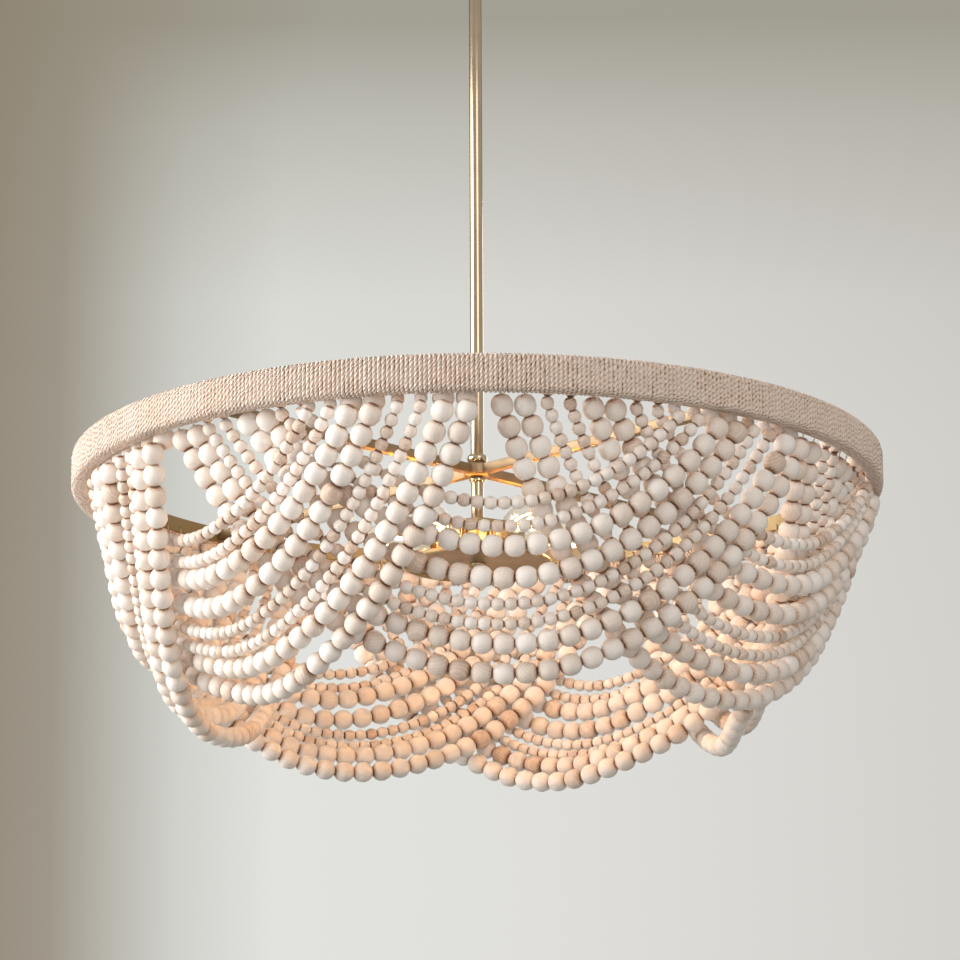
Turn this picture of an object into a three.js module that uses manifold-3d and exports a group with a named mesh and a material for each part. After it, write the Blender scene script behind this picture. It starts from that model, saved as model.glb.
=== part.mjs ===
// A beaded chandelier: a cord-wrapped hoop carried by four arms on a stem, seven swags of wooden
// beads that hang from the hoop and lap over each other into a bowl, and a six-lamp cluster inside.
// The origin is the middle of the ceiling face, +Z is up, and everything hangs below it.
import * as THREE from "three";
import { mergeVertices } from "three/addons/utils/BufferGeometryUtils.js";
import Module from "manifold-3d";

const wasm = await Module();
wasm.setup();

// Driving dimensions, in millimetres.
const hoopRadius = 381;
const hoopHeight = 34;
const hoopThickness = 15.7;
const hoopDrop = 560;
const hoopCorner = 4.5;
const wrapThickness = 3.4;
const fit = 0.3;

const innerBandThickness = 2;
const innerBandHeight = 14.5;
const innerBandInset = 0.6;

const armWidth = 9;
const armHeight = 9;
const armScrewRadius = 2;
const armScrewGrip = 7;
const armScrewHeadRadius = 3.1;
const armScrewHeadHeight = 2.4;
const armScrewCover = 0.9;

const hubRadius = 13;
const hubHeight = 13;
const collarRadius = 9.5;
const collarHeight = 9;
const washerRadius = 7.6;
const washerHeight = 4.5;

const stemRadius = 6.15;
const lowerStemRadius = 5.65;

const clusterDrop = 63;
const clusterApothem = 38;
const clusterHeight = 32;
const clusterWall = 1.6;
const coverRadius = 70;
const coverThickness = 2;
const coverLip = 3;
const finialRadius = 7;
const finialHeight = 17;
const lampCount = 6;
const lampDrop = 13.5;
const socketRadius = 9;
const socketLength = 6;
const socketWall = 1.4;
const socketFlangeRadius = 11;
const socketFlangeThickness = 3;
const socketTail = 22;
const bulbBaseRadius = 6.6;
const bulbBaseLength = 20;
const bulbRadius = 17.5;
const bulbGlassLength = 62;

const canopyRadius = 65;
const canopyHeight = 28;
const canopyWall = 1.6;
const canopyCorner = 6;
const crossbarLength = 104;
const crossbarWidth = 20;
const crossbarThickness = 3;
const canopyScrewRadius = 2;
const canopyScrewHeadRadius = 4.2;
const canopyScrewHeadHeight = 2.6;
const canopyScrewReach = 4;
const canopyScrewInset = 14;
const canopyScrewSpacing = crossbarLength - 2 * canopyScrewInset;
const neckRadius = 6.5;
const neckFlangeRadius = 13;
const neckFlangeThickness = 3;
const locknutRadius = 11;
const locknutHeight = 5;
const neckTip = 1.5;
const yokeWidth = 22;
const yokeDepth = 16;
const slotWidth = 8.6;
const tongueDepth = 14;
const tiltPinDrop = 19;
const tiltPinRadius = 2.5;
const tiltPinProud = 1.2;
const knuckleRadius = 9;
const knuckleHeight = 18;
const knuckleDrop = 16;
const stemSeatDepth = 12;

// The bead swags. A row's path runs through its bead centres. Its solid is a bar that holds the
// same wood as its beads do, so that it is a little thinner than they are.
const largeBeadDiameter = 20;
const smallBeadDiameter = 12;
const beadClearance = 0.6;
const beadFillShare = 0.67;
const seatInset = 2.3;
const seatGap = 2;
const bowlDrop = 217;
const tuck = 37;
const tuckDepthShare = 1.037;
const cordThickness = 2.4;
const bareCordShare = 0.4;

const rowIsLarge = [true, true, false, false, true, true, false, false];
const rowDropShares = [1, 0.9, 0.835, 0.765, 0.67, 0.555, 0.485, 0.4];
const swagTurns = [1.7, 1.4, 1.6, 0.7, 0.8, 1.8, 0.7];
const outerSlackShares = [0, 0, 0, 0.05, 0.015, 0, 0];
const innerSlackShares = [-0.01, 0, 0.02, 0.15, 0.1, 0.02, 0];
const wallSlopeShare = 0.4;
const tuckPower = 5;
const lapRiseShare = 0.4;
const lapEaseShare = 0.12;
const lapEndShare = 0.8;
const lapLean = 32;

// Facet counts: they set how round each piece is.
const ringFacets = 48;
const canopyFacets = 32;
const roundFacets = 24;
const collarFacets = 16;
const smallFacets = 12;
const screwFacets = 8;
const largeRowSides = 6;
const smallRowSides = 4;
const longRowSteps = 11;
const shortRowSteps = 9;
const cordFacets = 3;

const degrees = Math.PI / 180;

// Finishes.
const finish = (color, roughness, metalness) =>
  new THREE.MeshStandardMaterial({ color, roughness, metalness });
const brass = finish("#c9ae84", 0.35, 1);
const bandBrass = finish("#b79a63", 0.45, 1);
const darkBrass = finish("#8d7850", 0.5, 1);
const steel = finish("#b9b9b4", 0.4, 1);
const paleWood = finish("#d9cbb9", 0.7, 0);
const hoopWood = finish("#b99a72", 0.8, 0);
const cordWrap = finish("#d8c8b4", 0.95, 0);
const glass = finish("#f4efe2", 0.1, 0);

const chandelier = new THREE.Group();

function addPiece(name, geometry, material) {
  const mesh = new THREE.Mesh(geometry, material);
  mesh.name = name;
  chandelier.add(mesh);
  return mesh;
}

// A closed geometry as a solid for cutting and joining, and back again.
function solidOf(geometry) {
  const bare = geometry.index ? geometry.toNonIndexed() : geometry.clone();
  bare.deleteAttribute("normal");
  bare.deleteAttribute("uv");
  const merged = mergeVertices(bare);
  const solid = new wasm.Mesh({
    numProp: 3,
    vertProperties: merged.attributes.position.array,
    triVerts: new Uint32Array(merged.index.array),
  });
  return new wasm.Manifold(solid);
}

function geometryOf(solid) {
  const mesh = solid.getMesh();
  const geometry = new THREE.BufferGeometry();
  geometry.setAttribute("position", new THREE.BufferAttribute(mesh.vertProperties, 3));
  geometry.setIndex(new THREE.BufferAttribute(mesh.triVerts, 1));
  const loose = geometry.toNonIndexed();
  loose.computeVertexNormals();
  return loose;
}

function cut(geometry, tools) {
  const solid = tools.reduce((left, tool) => left.subtract(solidOf(tool)), solidOf(geometry));
  return geometryOf(solid);
}

function join(parts) {
  const solid = parts.slice(1).reduce((sum, part) => sum.add(solidOf(part)), solidOf(parts[0]));
  return geometryOf(solid);
}

// Shapes about the Z axis. A cylinder or block is given by its top and bottom heights.
function cylinder(radius, top, bottom, facets = roundFacets) {
  const shape = new THREE.CylinderGeometry(radius, radius, top - bottom, facets);
  return shape.rotateX(Math.PI / 2).translate(0, 0, (top + bottom) / 2);
}

function block(width, depth, top, bottom) {
  return new THREE.BoxGeometry(width, depth, top - bottom).translate(0, 0, (top + bottom) / 2);
}

function turned(profile, facets = roundFacets) {
  const points = profile.map(([radius, height]) => new THREE.Vector2(radius, height));
  return new THREE.LatheGeometry(points, facets).rotateX(Math.PI / 2);
}

// A cylinder that lies along +X, from one distance from the axis to another.
function lyingCylinder(radius, from, to, facets = smallFacets) {
  const shape = new THREE.CylinderGeometry(radius, radius, to - from, facets);
  return shape.rotateZ(-Math.PI / 2).translate((from + to) / 2, 0, 0);
}

// The ceiling end: a crossbar on the ceiling box, a canopy cup under it, and its two screws.
const canopyFloor = -canopyHeight;
const crossbarTop = 0;
const crossbarBottom = crossbarTop - crossbarThickness;

function canopyGeometry() {
  const innerRadius = canopyRadius - canopyWall;
  const innerFloor = canopyFloor + canopyWall;
  const shell = turned([
    [0, canopyFloor],
    [canopyRadius - canopyCorner, canopyFloor],
    [canopyRadius, canopyFloor + canopyCorner],
    [canopyRadius, 0],
    [innerRadius, 0],
    [innerRadius, innerFloor + canopyCorner],
    [innerRadius - canopyCorner, innerFloor],
    [0, innerFloor],
  ], canopyFacets);
  const overrun = canopyWall;
  const neckHole = cylinder(neckRadius + fit, innerFloor + overrun, canopyFloor - overrun);
  const screwHoles = [-1, 1].map((side) =>
    cylinder(canopyScrewRadius + fit, innerFloor + overrun, canopyFloor - overrun, screwFacets)
      .translate((side * canopyScrewSpacing) / 2, 0, 0));
  return cut(shell, [neckHole, ...screwHoles]);
}

function crossbarGeometry() {
  const bar = block(crossbarLength, crossbarWidth, crossbarTop, crossbarBottom);
  const overrun = crossbarThickness;
  const neckHole = cylinder(neckRadius + fit, crossbarTop + overrun, crossbarBottom - overrun);
  const screwHoles = [-1, 1].map((side) =>
    cylinder(canopyScrewRadius + fit, crossbarTop + overrun, crossbarBottom - overrun, screwFacets)
      .translate((side * canopyScrewSpacing) / 2, 0, 0));
  return cut(bar, [neckHole, ...screwHoles]);
}

function canopyScrewGeometry() {
  const seat = canopyFloor - fit;
  const tip = crossbarTop + canopyScrewReach;
  return turned([
    [0, seat - canopyScrewHeadHeight],
    [canopyScrewHeadRadius, seat - canopyScrewHeadHeight],
    [canopyScrewHeadRadius, seat],
    [canopyScrewRadius, seat],
    [canopyScrewRadius, tip],
    [0, tip],
  ], screwFacets);
}

addPiece("canopy", canopyGeometry(), brass);
addPiece("crossbar", crossbarGeometry(), steel);
for (const [name, side] of [["canopy_screw_left", -1], ["canopy_screw_right", 1]])
  addPiece(name, canopyScrewGeometry(), brass).position.x = (side * canopyScrewSpacing) / 2;

// The swivel: a neck that turns in the canopy, with a forked yoke for the tilt pin.
const neckFlangeTop = canopyFloor - fit;
const neckFlangeBottom = neckFlangeTop - neckFlangeThickness;
const tiltAxis = neckFlangeBottom - tiltPinDrop;
const pinClearance = tiltPinRadius + fit;
const locknutBottom = crossbarTop + fit;
const locknutTop = locknutBottom + locknutHeight;

function neckGeometry() {
  const shank = turned([
    [0, neckFlangeBottom],
    [neckFlangeRadius, neckFlangeBottom],
    [neckFlangeRadius, neckFlangeTop],
    [neckRadius, neckFlangeTop],
    [neckRadius, locknutTop + neckTip],
    [0, locknutTop + neckTip],
  ]);
  const cheekEnd = yokeDepth / 2;
  const body = block(yokeWidth, yokeDepth, neckFlangeBottom + neckFlangeThickness / 2, tiltAxis);
  const roundEnd = lyingCylinder(cheekEnd, -yokeWidth / 2, yokeWidth / 2, roundFacets)
    .translate(0, 0, tiltAxis);
  const slotTop = tiltAxis + tongueDepth / 2 + 2 * fit;
  const slot = block(slotWidth, 2 * yokeDepth, slotTop, tiltAxis - yokeDepth);
  const pinHole = lyingCylinder(pinClearance, -yokeWidth, yokeWidth).translate(0, 0, tiltAxis);
  return cut(join([shank, body, roundEnd]), [slot, pinHole]);
}

function locknutGeometry() {
  const nut = cylinder(locknutRadius, locknutTop, locknutBottom, 6);
  return cut(nut, [cylinder(neckRadius + fit, locknutTop + fit, locknutBottom - fit)]);
}

function tiltPinGeometry() {
  const reach = yokeWidth / 2 + tiltPinProud;
  return lyingCylinder(tiltPinRadius, -reach, reach).translate(0, 0, tiltAxis);
}

addPiece("swivel_neck", neckGeometry(), brass);
addPiece("neck_locknut", locknutGeometry(), steel);
addPiece("tilt_pin", tiltPinGeometry(), steel);

// The knuckle: a tongue that tilts on the pin, and a socket that the stem screws into.
const knuckleTop = tiltAxis - knuckleDrop;
const knuckleBottom = knuckleTop - knuckleHeight;
const stemTop = knuckleBottom + stemSeatDepth;

function knuckleGeometry() {
  const thickness = slotWidth - 2 * fit;
  const eye = lyingCylinder(tongueDepth / 2, -thickness / 2, thickness / 2, roundFacets)
    .translate(0, 0, tiltAxis);
  const tongue = block(thickness, tongueDepth, tiltAxis, knuckleTop - fit);
  const barrel = cylinder(knuckleRadius, knuckleTop, knuckleBottom);
  const pinHole = lyingCylinder(pinClearance, -yokeWidth, yokeWidth).translate(0, 0, tiltAxis);
  const bore = cylinder(stemRadius + fit, stemTop + fit, knuckleBottom - knuckleHeight);
  return cut(join([eye, tongue, barrel]), [pinHole, bore]);
}

addPiece("swivel_knuckle", knuckleGeometry(), brass);

// The stem, and the hub that the four arms meet in. Heights count down from the hoop's top.
const hoopTop = -hoopDrop;
const armMiddle = hoopTop - wrapThickness - 2 * fit - armScrewHeadRadius - armScrewCover;
const armTop = armMiddle + armHeight / 2;
const armBottom = armMiddle - armHeight / 2;
const hubTop = armMiddle + hubHeight / 2;
const hubBottom = armMiddle - hubHeight / 2;
const collarTop = hubTop + fit + collarHeight;
const washerBottom = hubBottom - fit - washerHeight;
const lowerStemTop = hubBottom - fit;
const clusterTop = hoopTop - clusterDrop;
const clusterBottom = clusterTop - clusterHeight;
const armPocket = hubRadius / 2;

function hubGeometry() {
  const body = cylinder(hubRadius, hubTop, hubBottom);
  const pockets = [0, 1].map((turn) =>
    block(4 * hubRadius, armWidth + 2 * fit, armTop + fit, armBottom - fit)
      .rotateZ((turn * Math.PI) / 2 + Math.PI / 4));
  const core = cylinder(armPocket, hubTop - fit, hubBottom + fit);
  return join([cut(body, pockets), core]);
}

function ballCollarGeometry() {
  const bottom = hubTop + fit;
  const bore = stemRadius + fit;
  return turned([
    [bore, bottom],
    [collarRadius * 0.8, bottom],
    [collarRadius, bottom + collarHeight * 0.3],
    [collarRadius, bottom + collarHeight * 0.55],
    [collarRadius * 0.85, bottom + collarHeight * 0.85],
    [bore, collarTop],
    [bore, bottom],
  ], collarFacets);
}

function washerGeometry() {
  const bore = lowerStemRadius + fit;
  const top = washerBottom + washerHeight;
  const crown = (washerRadius - bore) / 2;
  return turned([
    [bore, washerBottom],
    [washerRadius - crown, washerBottom],
    [washerRadius, washerBottom + washerHeight / 3],
    [washerRadius, top - washerHeight / 3],
    [washerRadius - crown, top],
    [bore, top],
    [bore, washerBottom],
  ], collarFacets);
}

addPiece("stem", cylinder(stemRadius, stemTop, hubTop + fit), brass);
addPiece("ball_collar", ballCollarGeometry(), brass);
addPiece("hub", hubGeometry(), brass);
addPiece("washer_collar", washerGeometry(), brass);
addPiece("lower_stem", cylinder(lowerStemRadius, lowerStemTop, clusterTop + fit), brass);

// The hoop: a wooden core, the cord wound round it, and the drilled brass band inside its top.
const hoopBottom = hoopTop - hoopHeight;
const wrapInner = hoopRadius - hoopThickness;
const coreOuter = hoopRadius - wrapThickness;
const coreInner = wrapInner + wrapThickness;
const bandOuter = wrapInner - fit;
const bandInner = bandOuter - innerBandThickness;
const bandTop = hoopTop - innerBandInset;
const bandClear = bandInner * Math.cos(Math.PI / ringFacets) - fit;
const armEnd = bandClear;
const screwSeat = coreOuter - fit - armScrewHeadHeight;

function ringGeometry(outer, inner, top, bottom, corner) {
  const section = [
    [inner, bottom],
    [outer - corner, bottom],
    [outer, bottom + corner],
    [outer, top - corner],
    [outer - corner, top],
    [inner, top],
    [inner, bottom],
  ];
  const plain = [[inner, bottom], [outer, bottom], [outer, top], [inner, top], [inner, bottom]];
  return turned(corner > 0 ? section : plain, ringFacets);
}

// One cylinder along each arm's axis, for the screws and the holes that they pass through.
function alongArms(radius, from, to) {
  return [1, 3, 5, 7].map((eighth) =>
    lyingCylinder(radius, from, to, screwFacets)
      .translate(0, 0, armMiddle)
      .rotateZ((eighth * Math.PI) / 4));
}

function wrapGeometry() {
  const outside = ringGeometry(hoopRadius, wrapInner, hoopTop, hoopBottom, hoopCorner);
  const hollow = ringGeometry(coreOuter, coreInner, hoopTop - wrapThickness,
    hoopBottom + wrapThickness, 0);
  return cut(outside, [hollow, ...alongArms(armScrewRadius + fit, bandOuter, coreInner + fit)]);
}

function coreGeometry() {
  const ring = ringGeometry(coreOuter - fit, coreInner + fit, hoopTop - wrapThickness - fit,
    hoopBottom + wrapThickness + fit, 0);
  const holes = alongArms(armScrewRadius + fit, bandOuter, hoopRadius);
  const seats = alongArms(armScrewHeadRadius + fit, screwSeat - fit, hoopRadius);
  return cut(ring, [...holes, ...seats]);
}

function bandGeometry() {
  const ring = ringGeometry(bandOuter, bandInner, bandTop, bandTop - innerBandHeight, 0);
  return cut(ring, alongArms(armScrewRadius + fit, armEnd, wrapInner));
}

addPiece("cord_wrap", wrapGeometry(), cordWrap);
addPiece("hoop_core", coreGeometry(), hoopWood);
addPiece("inner_band", bandGeometry(), bandBrass);

function armGeometry() {
  const start = armPocket + fit;
  const bar = new THREE.BoxGeometry(armEnd - start, armWidth, armHeight)
    .translate((armEnd + start) / 2, 0, armMiddle);
  const bore = lyingCylinder(armScrewRadius + fit, armEnd - armScrewGrip, armEnd + fit)
    .translate(0, 0, armMiddle);
  return cut(bar, [bore]);
}

function armScrewGeometry() {
  const tip = armEnd - armScrewGrip + fit;
  const headEnd = screwSeat + armScrewHeadHeight;
  const screw = turned([
    [0, tip],
    [armScrewRadius, tip],
    [armScrewRadius, screwSeat],
    [armScrewHeadRadius, screwSeat],
    [armScrewHeadRadius, headEnd],
    [0, headEnd],
  ], screwFacets);
  return screw.rotateY(Math.PI / 2).translate(0, 0, armMiddle);
}

const armNames = ["back_right", "back_left", "front_left", "front_right"];
armNames.forEach((place, index) => {
  const turn = Math.PI / 4 + (index * Math.PI) / 2;
  addPiece("arm_" + place, armGeometry(), bandBrass).rotation.z = turn;
  addPiece("arm_screw_" + place, armScrewGeometry(), steel).rotation.z = turn;
});

// The lamp cluster: a six-sided box under the lower stem, with a socket and a bulb on each side,
// and a round cover plate held by a finial.
const coverTop = clusterBottom - fit;
const coverBottom = coverTop - coverThickness;
const lampHeight = clusterTop - lampDrop;
const socketStart = clusterApothem + fit;
const socketEnd = socketStart + socketLength;
const socketTailEnd = clusterApothem - socketTail;
const bulbStart = socketEnd - bulbBaseLength;
const bulbNeck = socketEnd + fit;
const hexShare = 1 / Math.cos(Math.PI / 6);

function clusterGeometry() {
  const innerApothem = clusterApothem - clusterWall;
  const outside = cylinder(clusterApothem * hexShare, clusterTop, clusterBottom, 6);
  const inside = cylinder(innerApothem * hexShare, clusterTop - clusterWall,
    clusterBottom - clusterWall, 6);
  const holes = [];
  for (let lamp = 0; lamp < lampCount; lamp += 1)
    holes.push(lyingCylinder(socketRadius + fit, innerApothem - fit, socketStart)
      .translate(0, 0, lampHeight)
      .rotateZ((lamp * 2 * Math.PI) / lampCount));
  return cut(outside, [inside, ...holes]);
}

function coverGeometry() {
  return turned([
    [0, coverBottom],
    [coverRadius - coverThickness, coverBottom],
    [coverRadius - coverThickness, coverBottom - coverLip],
    [coverRadius, coverBottom - coverLip],
    [coverRadius, coverTop],
    [0, coverTop],
  ], canopyFacets);
}

function finialGeometry() {
  const top = coverBottom - fit;
  const waist = finialRadius * 0.45;
  return turned([
    [0, top - finialHeight],
    [waist, top - finialHeight * 0.95],
    [finialRadius * 0.8, top - finialHeight * 0.75],
    [finialRadius * 0.8, top - finialHeight * 0.5],
    [waist, top - finialHeight * 0.3],
    [finialRadius, top - finialHeight * 0.15],
    [finialRadius, top],
    [0, top],
  ], collarFacets);
}

// Sockets and bulbs are turned about their own axis and laid along +X.
function layAlongX(geometry) {
  return geometry.rotateY(Math.PI / 2).translate(0, 0, lampHeight);
}

function socketGeometry() {
  const bore = socketRadius - socketWall;
  const boreFloor = bulbStart - fit;
  return layAlongX(turned([
    [0, socketTailEnd],
    [socketRadius, socketTailEnd],
    [socketRadius, socketStart],
    [socketFlangeRadius, socketStart],
    [socketFlangeRadius, socketStart + socketFlangeThickness],
    [socketRadius, socketStart + socketFlangeThickness],
    [socketRadius, socketEnd],
    [bore, socketEnd],
    [bore, boreFloor],
    [0, boreFloor],
  ], smallFacets));
}

function bulbGeometry() {
  return layAlongX(turned([
    [0, bulbStart],
    [bulbBaseRadius, bulbStart],
    [bulbBaseRadius, bulbNeck],
    [bulbRadius * 0.62, bulbNeck + bulbGlassLength * 0.14],
    [bulbRadius * 0.95, bulbNeck + bulbGlassLength * 0.32],
    [bulbRadius, bulbNeck + bulbGlassLength * 0.43],
    [bulbRadius * 0.86, bulbNeck + bulbGlassLength * 0.62],
    [bulbRadius * 0.5, bulbNeck + bulbGlassLength * 0.82],
    [0, bulbNeck + bulbGlassLength],
  ], smallFacets));
}

addPiece("cluster_box", clusterGeometry(), brass);
addPiece("cluster_cover", coverGeometry(), brass);
addPiece("finial", finialGeometry(), brass);
for (let lamp = 0; lamp < lampCount; lamp += 1) {
  const turn = (lamp * 2 * Math.PI) / lampCount;
  addPiece("socket_" + (lamp + 1), socketGeometry(), darkBrass).rotation.z = turn;
  addPiece("bulb_" + (lamp + 1), bulbGeometry(), glass).rotation.z = turn;
}

// The bead swags. Angles are measured from the front, towards +X.
const swagCount = swagTurns.length;
const rowCount = rowDropShares.length;
const swagPitch = (2 * Math.PI) / swagCount;
const rowPitch = swagPitch / (2 * rowCount);
const rowsPerSet = rowCount / 2;
const cordOuter = wrapInner * Math.cos(Math.PI / ringFacets) - fit;
const cordInner = cordOuter - cordThickness;
const cordMiddle = (cordOuter + cordInner) / 2;
const cordTop = bandTop - innerBandHeight - fit;
const cordRadius = cordThickness * bareCordShare;
const seatRadius = wrapInner - seatInset;
const seatHeight = hoopBottom - seatGap;
const tuckDepth = bowlDrop * tuckDepthShare;

const swagAngle = (swag) => swag * swagPitch + swagTurns[swag] * degrees;
const rowHalfAngle = (row) => (2 * rowCount - 0.5 - row) * rowPitch;

function place(angle, radius, height) {
  return new THREE.Vector3(radius * Math.sin(angle), -radius * Math.cos(angle), height);
}

// A hanging chain's scale, from half its span and its drop: drop = scale (cosh(span / scale) - 1).
function chainScale(halfSpan, drop) {
  let low = 1e-4;
  let high = 20;
  for (let round = 0; round < 60; round += 1) {
    const middle = (low + high) / 2;
    if ((Math.cosh(middle) - 1) / middle < drop / halfSpan) low = middle;
    else high = middle;
  }
  return halfSpan / low;
}

// Neighbouring swags lap: each row's left part lies inside the bowl and its right part outside.
function lap(along) {
  const reach = Math.abs(along);
  const rise = Math.sin((Math.min(1, reach / lapRiseShare) * Math.PI) / 2);
  const ease = Math.max(0, reach - 1 + lapEaseShare) / lapEaseShare;
  return Math.sign(along) * rise * (1 - (1 - lapEndShare) * ease * ease);
}

function rowPath(swag, row, steps) {
  const halfAngle = rowHalfAngle(row);
  const inward = row / (rowCount - 1);
  const slack = outerSlackShares[swag] * (1 - inward) + innerSlackShares[swag] * inward;
  const drop = bowlDrop * (rowDropShares[row] + slack);
  const halfSpan = seatRadius * Math.sin(halfAngle);
  const scale = chainScale(halfSpan, drop);
  const halfLength = scale * Math.sinh(halfSpan / scale);
  const beadRadius = (rowIsLarge[row] ? largeBeadDiameter : smallBeadDiameter) / 2;
  const points = [];
  for (let step = 0; step <= steps; step += 1) {
    const across = scale * Math.asinh((halfLength / scale) * ((2 * step) / steps - 1));
    const fall = drop - scale * (Math.cosh(across / scale) - 1);
    const angle = Math.atan2(across, seatRadius * Math.cos(halfAngle));
    const bowl = seatRadius - wallSlopeShare * fall
      - tuck * Math.max(0, fall / tuckDepth) ** tuckPower;
    const shift = (beadRadius + beadClearance) * lap(angle / halfAngle);
    const radius = bowl + shift * Math.cos(lapLean * degrees);
    const height = seatHeight - fall - shift * Math.sin(lapLean * degrees);
    points.push(place(swagAngle(swag) + angle, radius, height));
  }
  return points;
}

// A tube with a flat side facing into the bowl, and its own thickness at each point.
function sweep(points, radii, sides) {
  const positions = [];
  points.forEach((point, index) => {
    const ahead = points[Math.min(index + 1, points.length - 1)];
    const behind = points[Math.max(index - 1, 0)];
    const along = ahead.clone().sub(behind).normalize();
    const outward = new THREE.Vector3(point.x, point.y, 0).normalize();
    outward.addScaledVector(along, -outward.dot(along)).normalize();
    const aside = along.clone().cross(outward);
    for (let side = 0; side < sides; side += 1) {
      const turn = ((side + 0.5) * 2 * Math.PI) / sides;
      const corner = point.clone()
        .addScaledVector(outward, radii[index] * Math.cos(turn))
        .addScaledVector(aside, radii[index] * Math.sin(turn));
      positions.push(corner.x, corner.y, corner.z);
    }
  });
  const faces = [];
  for (let ring = 0; ring < points.length - 1; ring += 1)
    for (let side = 0; side < sides; side += 1) {
      const a = ring * sides + side;
      const b = ring * sides + ((side + 1) % sides);
      faces.push(a, b, b + sides, a, b + sides, a + sides);
    }
  const last = (points.length - 1) * sides;
  for (let side = 1; side < sides - 1; side += 1) {
    faces.push(0, side + 1, side);
    faces.push(last, last + side, last + side + 1);
  }
  const tube = new THREE.BufferGeometry();
  tube.setAttribute("position", new THREE.BufferAttribute(new Float32Array(positions), 3));
  tube.setIndex(faces);
  return tube;
}

// A row's beads with the bare cord at each end, which runs up inside the hoop to the cord's run.
function rowGeometry(swag, row) {
  const large = rowIsLarge[row];
  const sides = large ? largeRowSides : smallRowSides;
  const beads = rowPath(swag, row, row < rowsPerSet ? longRowSteps : shortRowSteps);
  const fullness = (beadFillShare * 2 * Math.PI) / (sides * Math.sin((2 * Math.PI) / sides));
  const beadRadius = ((large ? largeBeadDiameter : smallBeadDiameter) / 2) * Math.sqrt(fullness);
  const bare = (side) => {
    const angle = swagAngle(swag) + side * rowHalfAngle(row);
    return [
      place(angle, cordMiddle, cordTop - cordThickness / 2),
      place(angle, cordMiddle, hoopBottom),
    ];
  };
  const points = [...bare(-1), ...beads, ...bare(1).reverse()];
  const radii = points.map((point, index) =>
    (index > 1 && index < points.length - 2 ? beadRadius : cordRadius));
  return sweep(points, radii, sides);
}

// The cord's run inside the hoop, from the first to the last row of one set, on one side.
function cordRun(swag, firstRow, lastRow, side) {
  const spare = cordThickness / cordMiddle;
  const outerAngle = swagAngle(swag) + side * (rowHalfAngle(firstRow) + spare);
  const innerAngle = swagAngle(swag) + side * (rowHalfAngle(lastRow) - spare);
  const from = Math.min(outerAngle, innerAngle) - Math.PI / 2;
  const to = Math.max(outerAngle, innerAngle) - Math.PI / 2;
  const shape = new THREE.Shape();
  shape.absarc(0, 0, cordOuter, from, to, false);
  shape.absarc(0, 0, cordInner, to, from, true);
  const options = { depth: cordThickness, bevelEnabled: false, curveSegments: cordFacets };
  return new THREE.ExtrudeGeometry(shape, options).translate(0, 0, cordTop - cordThickness);
}

function rowSetGeometry(swag, firstRow) {
  const parts = [-1, 1].map((side) => cordRun(swag, firstRow, firstRow + rowsPerSet - 1, side));
  for (let row = firstRow; row < firstRow + rowsPerSet; row += 1)
    parts.push(rowGeometry(swag, row));
  return join(parts);
}

for (let swag = 0; swag < swagCount; swag += 1) {
  addPiece("swag_" + (swag + 1) + "_outer_rows", rowSetGeometry(swag, 0), paleWood);
  addPiece("swag_" + (swag + 1) + "_inner_rows", rowSetGeometry(swag, rowsPerSet), paleWood);
}

export default chandelier;
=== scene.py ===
"""Looks of the beaded chandelier: wooden beads on threads, a wound hoop and brass fittings.

Every size is in metres in the shared frame: origin at the ceiling, +Z up, the front at -Y.
"""
import random
from bisect import bisect_right
from math import asinh, atan2, cos, cosh, pi, radians, sin, sinh, sqrt, tau

import bmesh
import bpy
import numpy as np
from bpy.props import (
    FloatProperty,
    FloatVectorProperty,
    IntProperty,
    IntVectorProperty,
    PointerProperty,
)
from mathutils import Matrix, Vector


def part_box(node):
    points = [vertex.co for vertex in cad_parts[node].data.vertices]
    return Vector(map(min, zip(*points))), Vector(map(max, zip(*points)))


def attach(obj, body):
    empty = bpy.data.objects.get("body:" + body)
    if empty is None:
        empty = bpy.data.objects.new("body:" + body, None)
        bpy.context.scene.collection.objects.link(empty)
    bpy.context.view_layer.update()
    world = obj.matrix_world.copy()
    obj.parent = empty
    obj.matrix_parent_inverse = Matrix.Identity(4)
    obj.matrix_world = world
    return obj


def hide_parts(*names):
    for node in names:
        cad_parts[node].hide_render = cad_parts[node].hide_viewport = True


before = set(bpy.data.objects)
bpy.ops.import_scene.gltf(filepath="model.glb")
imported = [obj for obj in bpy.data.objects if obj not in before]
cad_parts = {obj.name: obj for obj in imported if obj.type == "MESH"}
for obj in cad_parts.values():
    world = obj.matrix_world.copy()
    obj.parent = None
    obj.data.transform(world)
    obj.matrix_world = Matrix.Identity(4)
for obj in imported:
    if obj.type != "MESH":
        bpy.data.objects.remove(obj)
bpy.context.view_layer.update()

bl_info = {
    "name": "Beaded chandelier",
    "version": (1, 0, 0),
    "blender": (4, 5, 0),
    "location": "View3D > Sidebar > Chandelier",
    "description": "Builds the looks of a beaded chandelier on its packed solids",
    "category": "Object",
}

MM = 0.001

# Facets round a bead, and the most beads inside the hoop above a row's end.
BEAD_FACETS = 12
MOST_TOP_BEADS = 2
# Room between such a bead and the hoop, and between it and the band above it.
HOOP_GAP = 0.3 * MM
BAND_GAP = 2 * MM
# How much smaller or larger a bead may be, as shares of its size.
SIZE_SPREAD = (-0.014, 0.01)
# The thinnest and the thickest wash on a bead, from 0 to 1.
LEAST_TONE, MOST_TONE = 0.06, 0.6
# Half the length, in millimetres, of the plank that the beads' grain is taken from.
PLANK = 400
# Slopes from the camera to the side, the foot and the top of its view of the wall.
SIDE_VIEW, LOW_VIEW, HIGH_VIEW = 0.122, 0.205, 0.3826


# ---------------------------------------------------------------- settings


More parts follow.
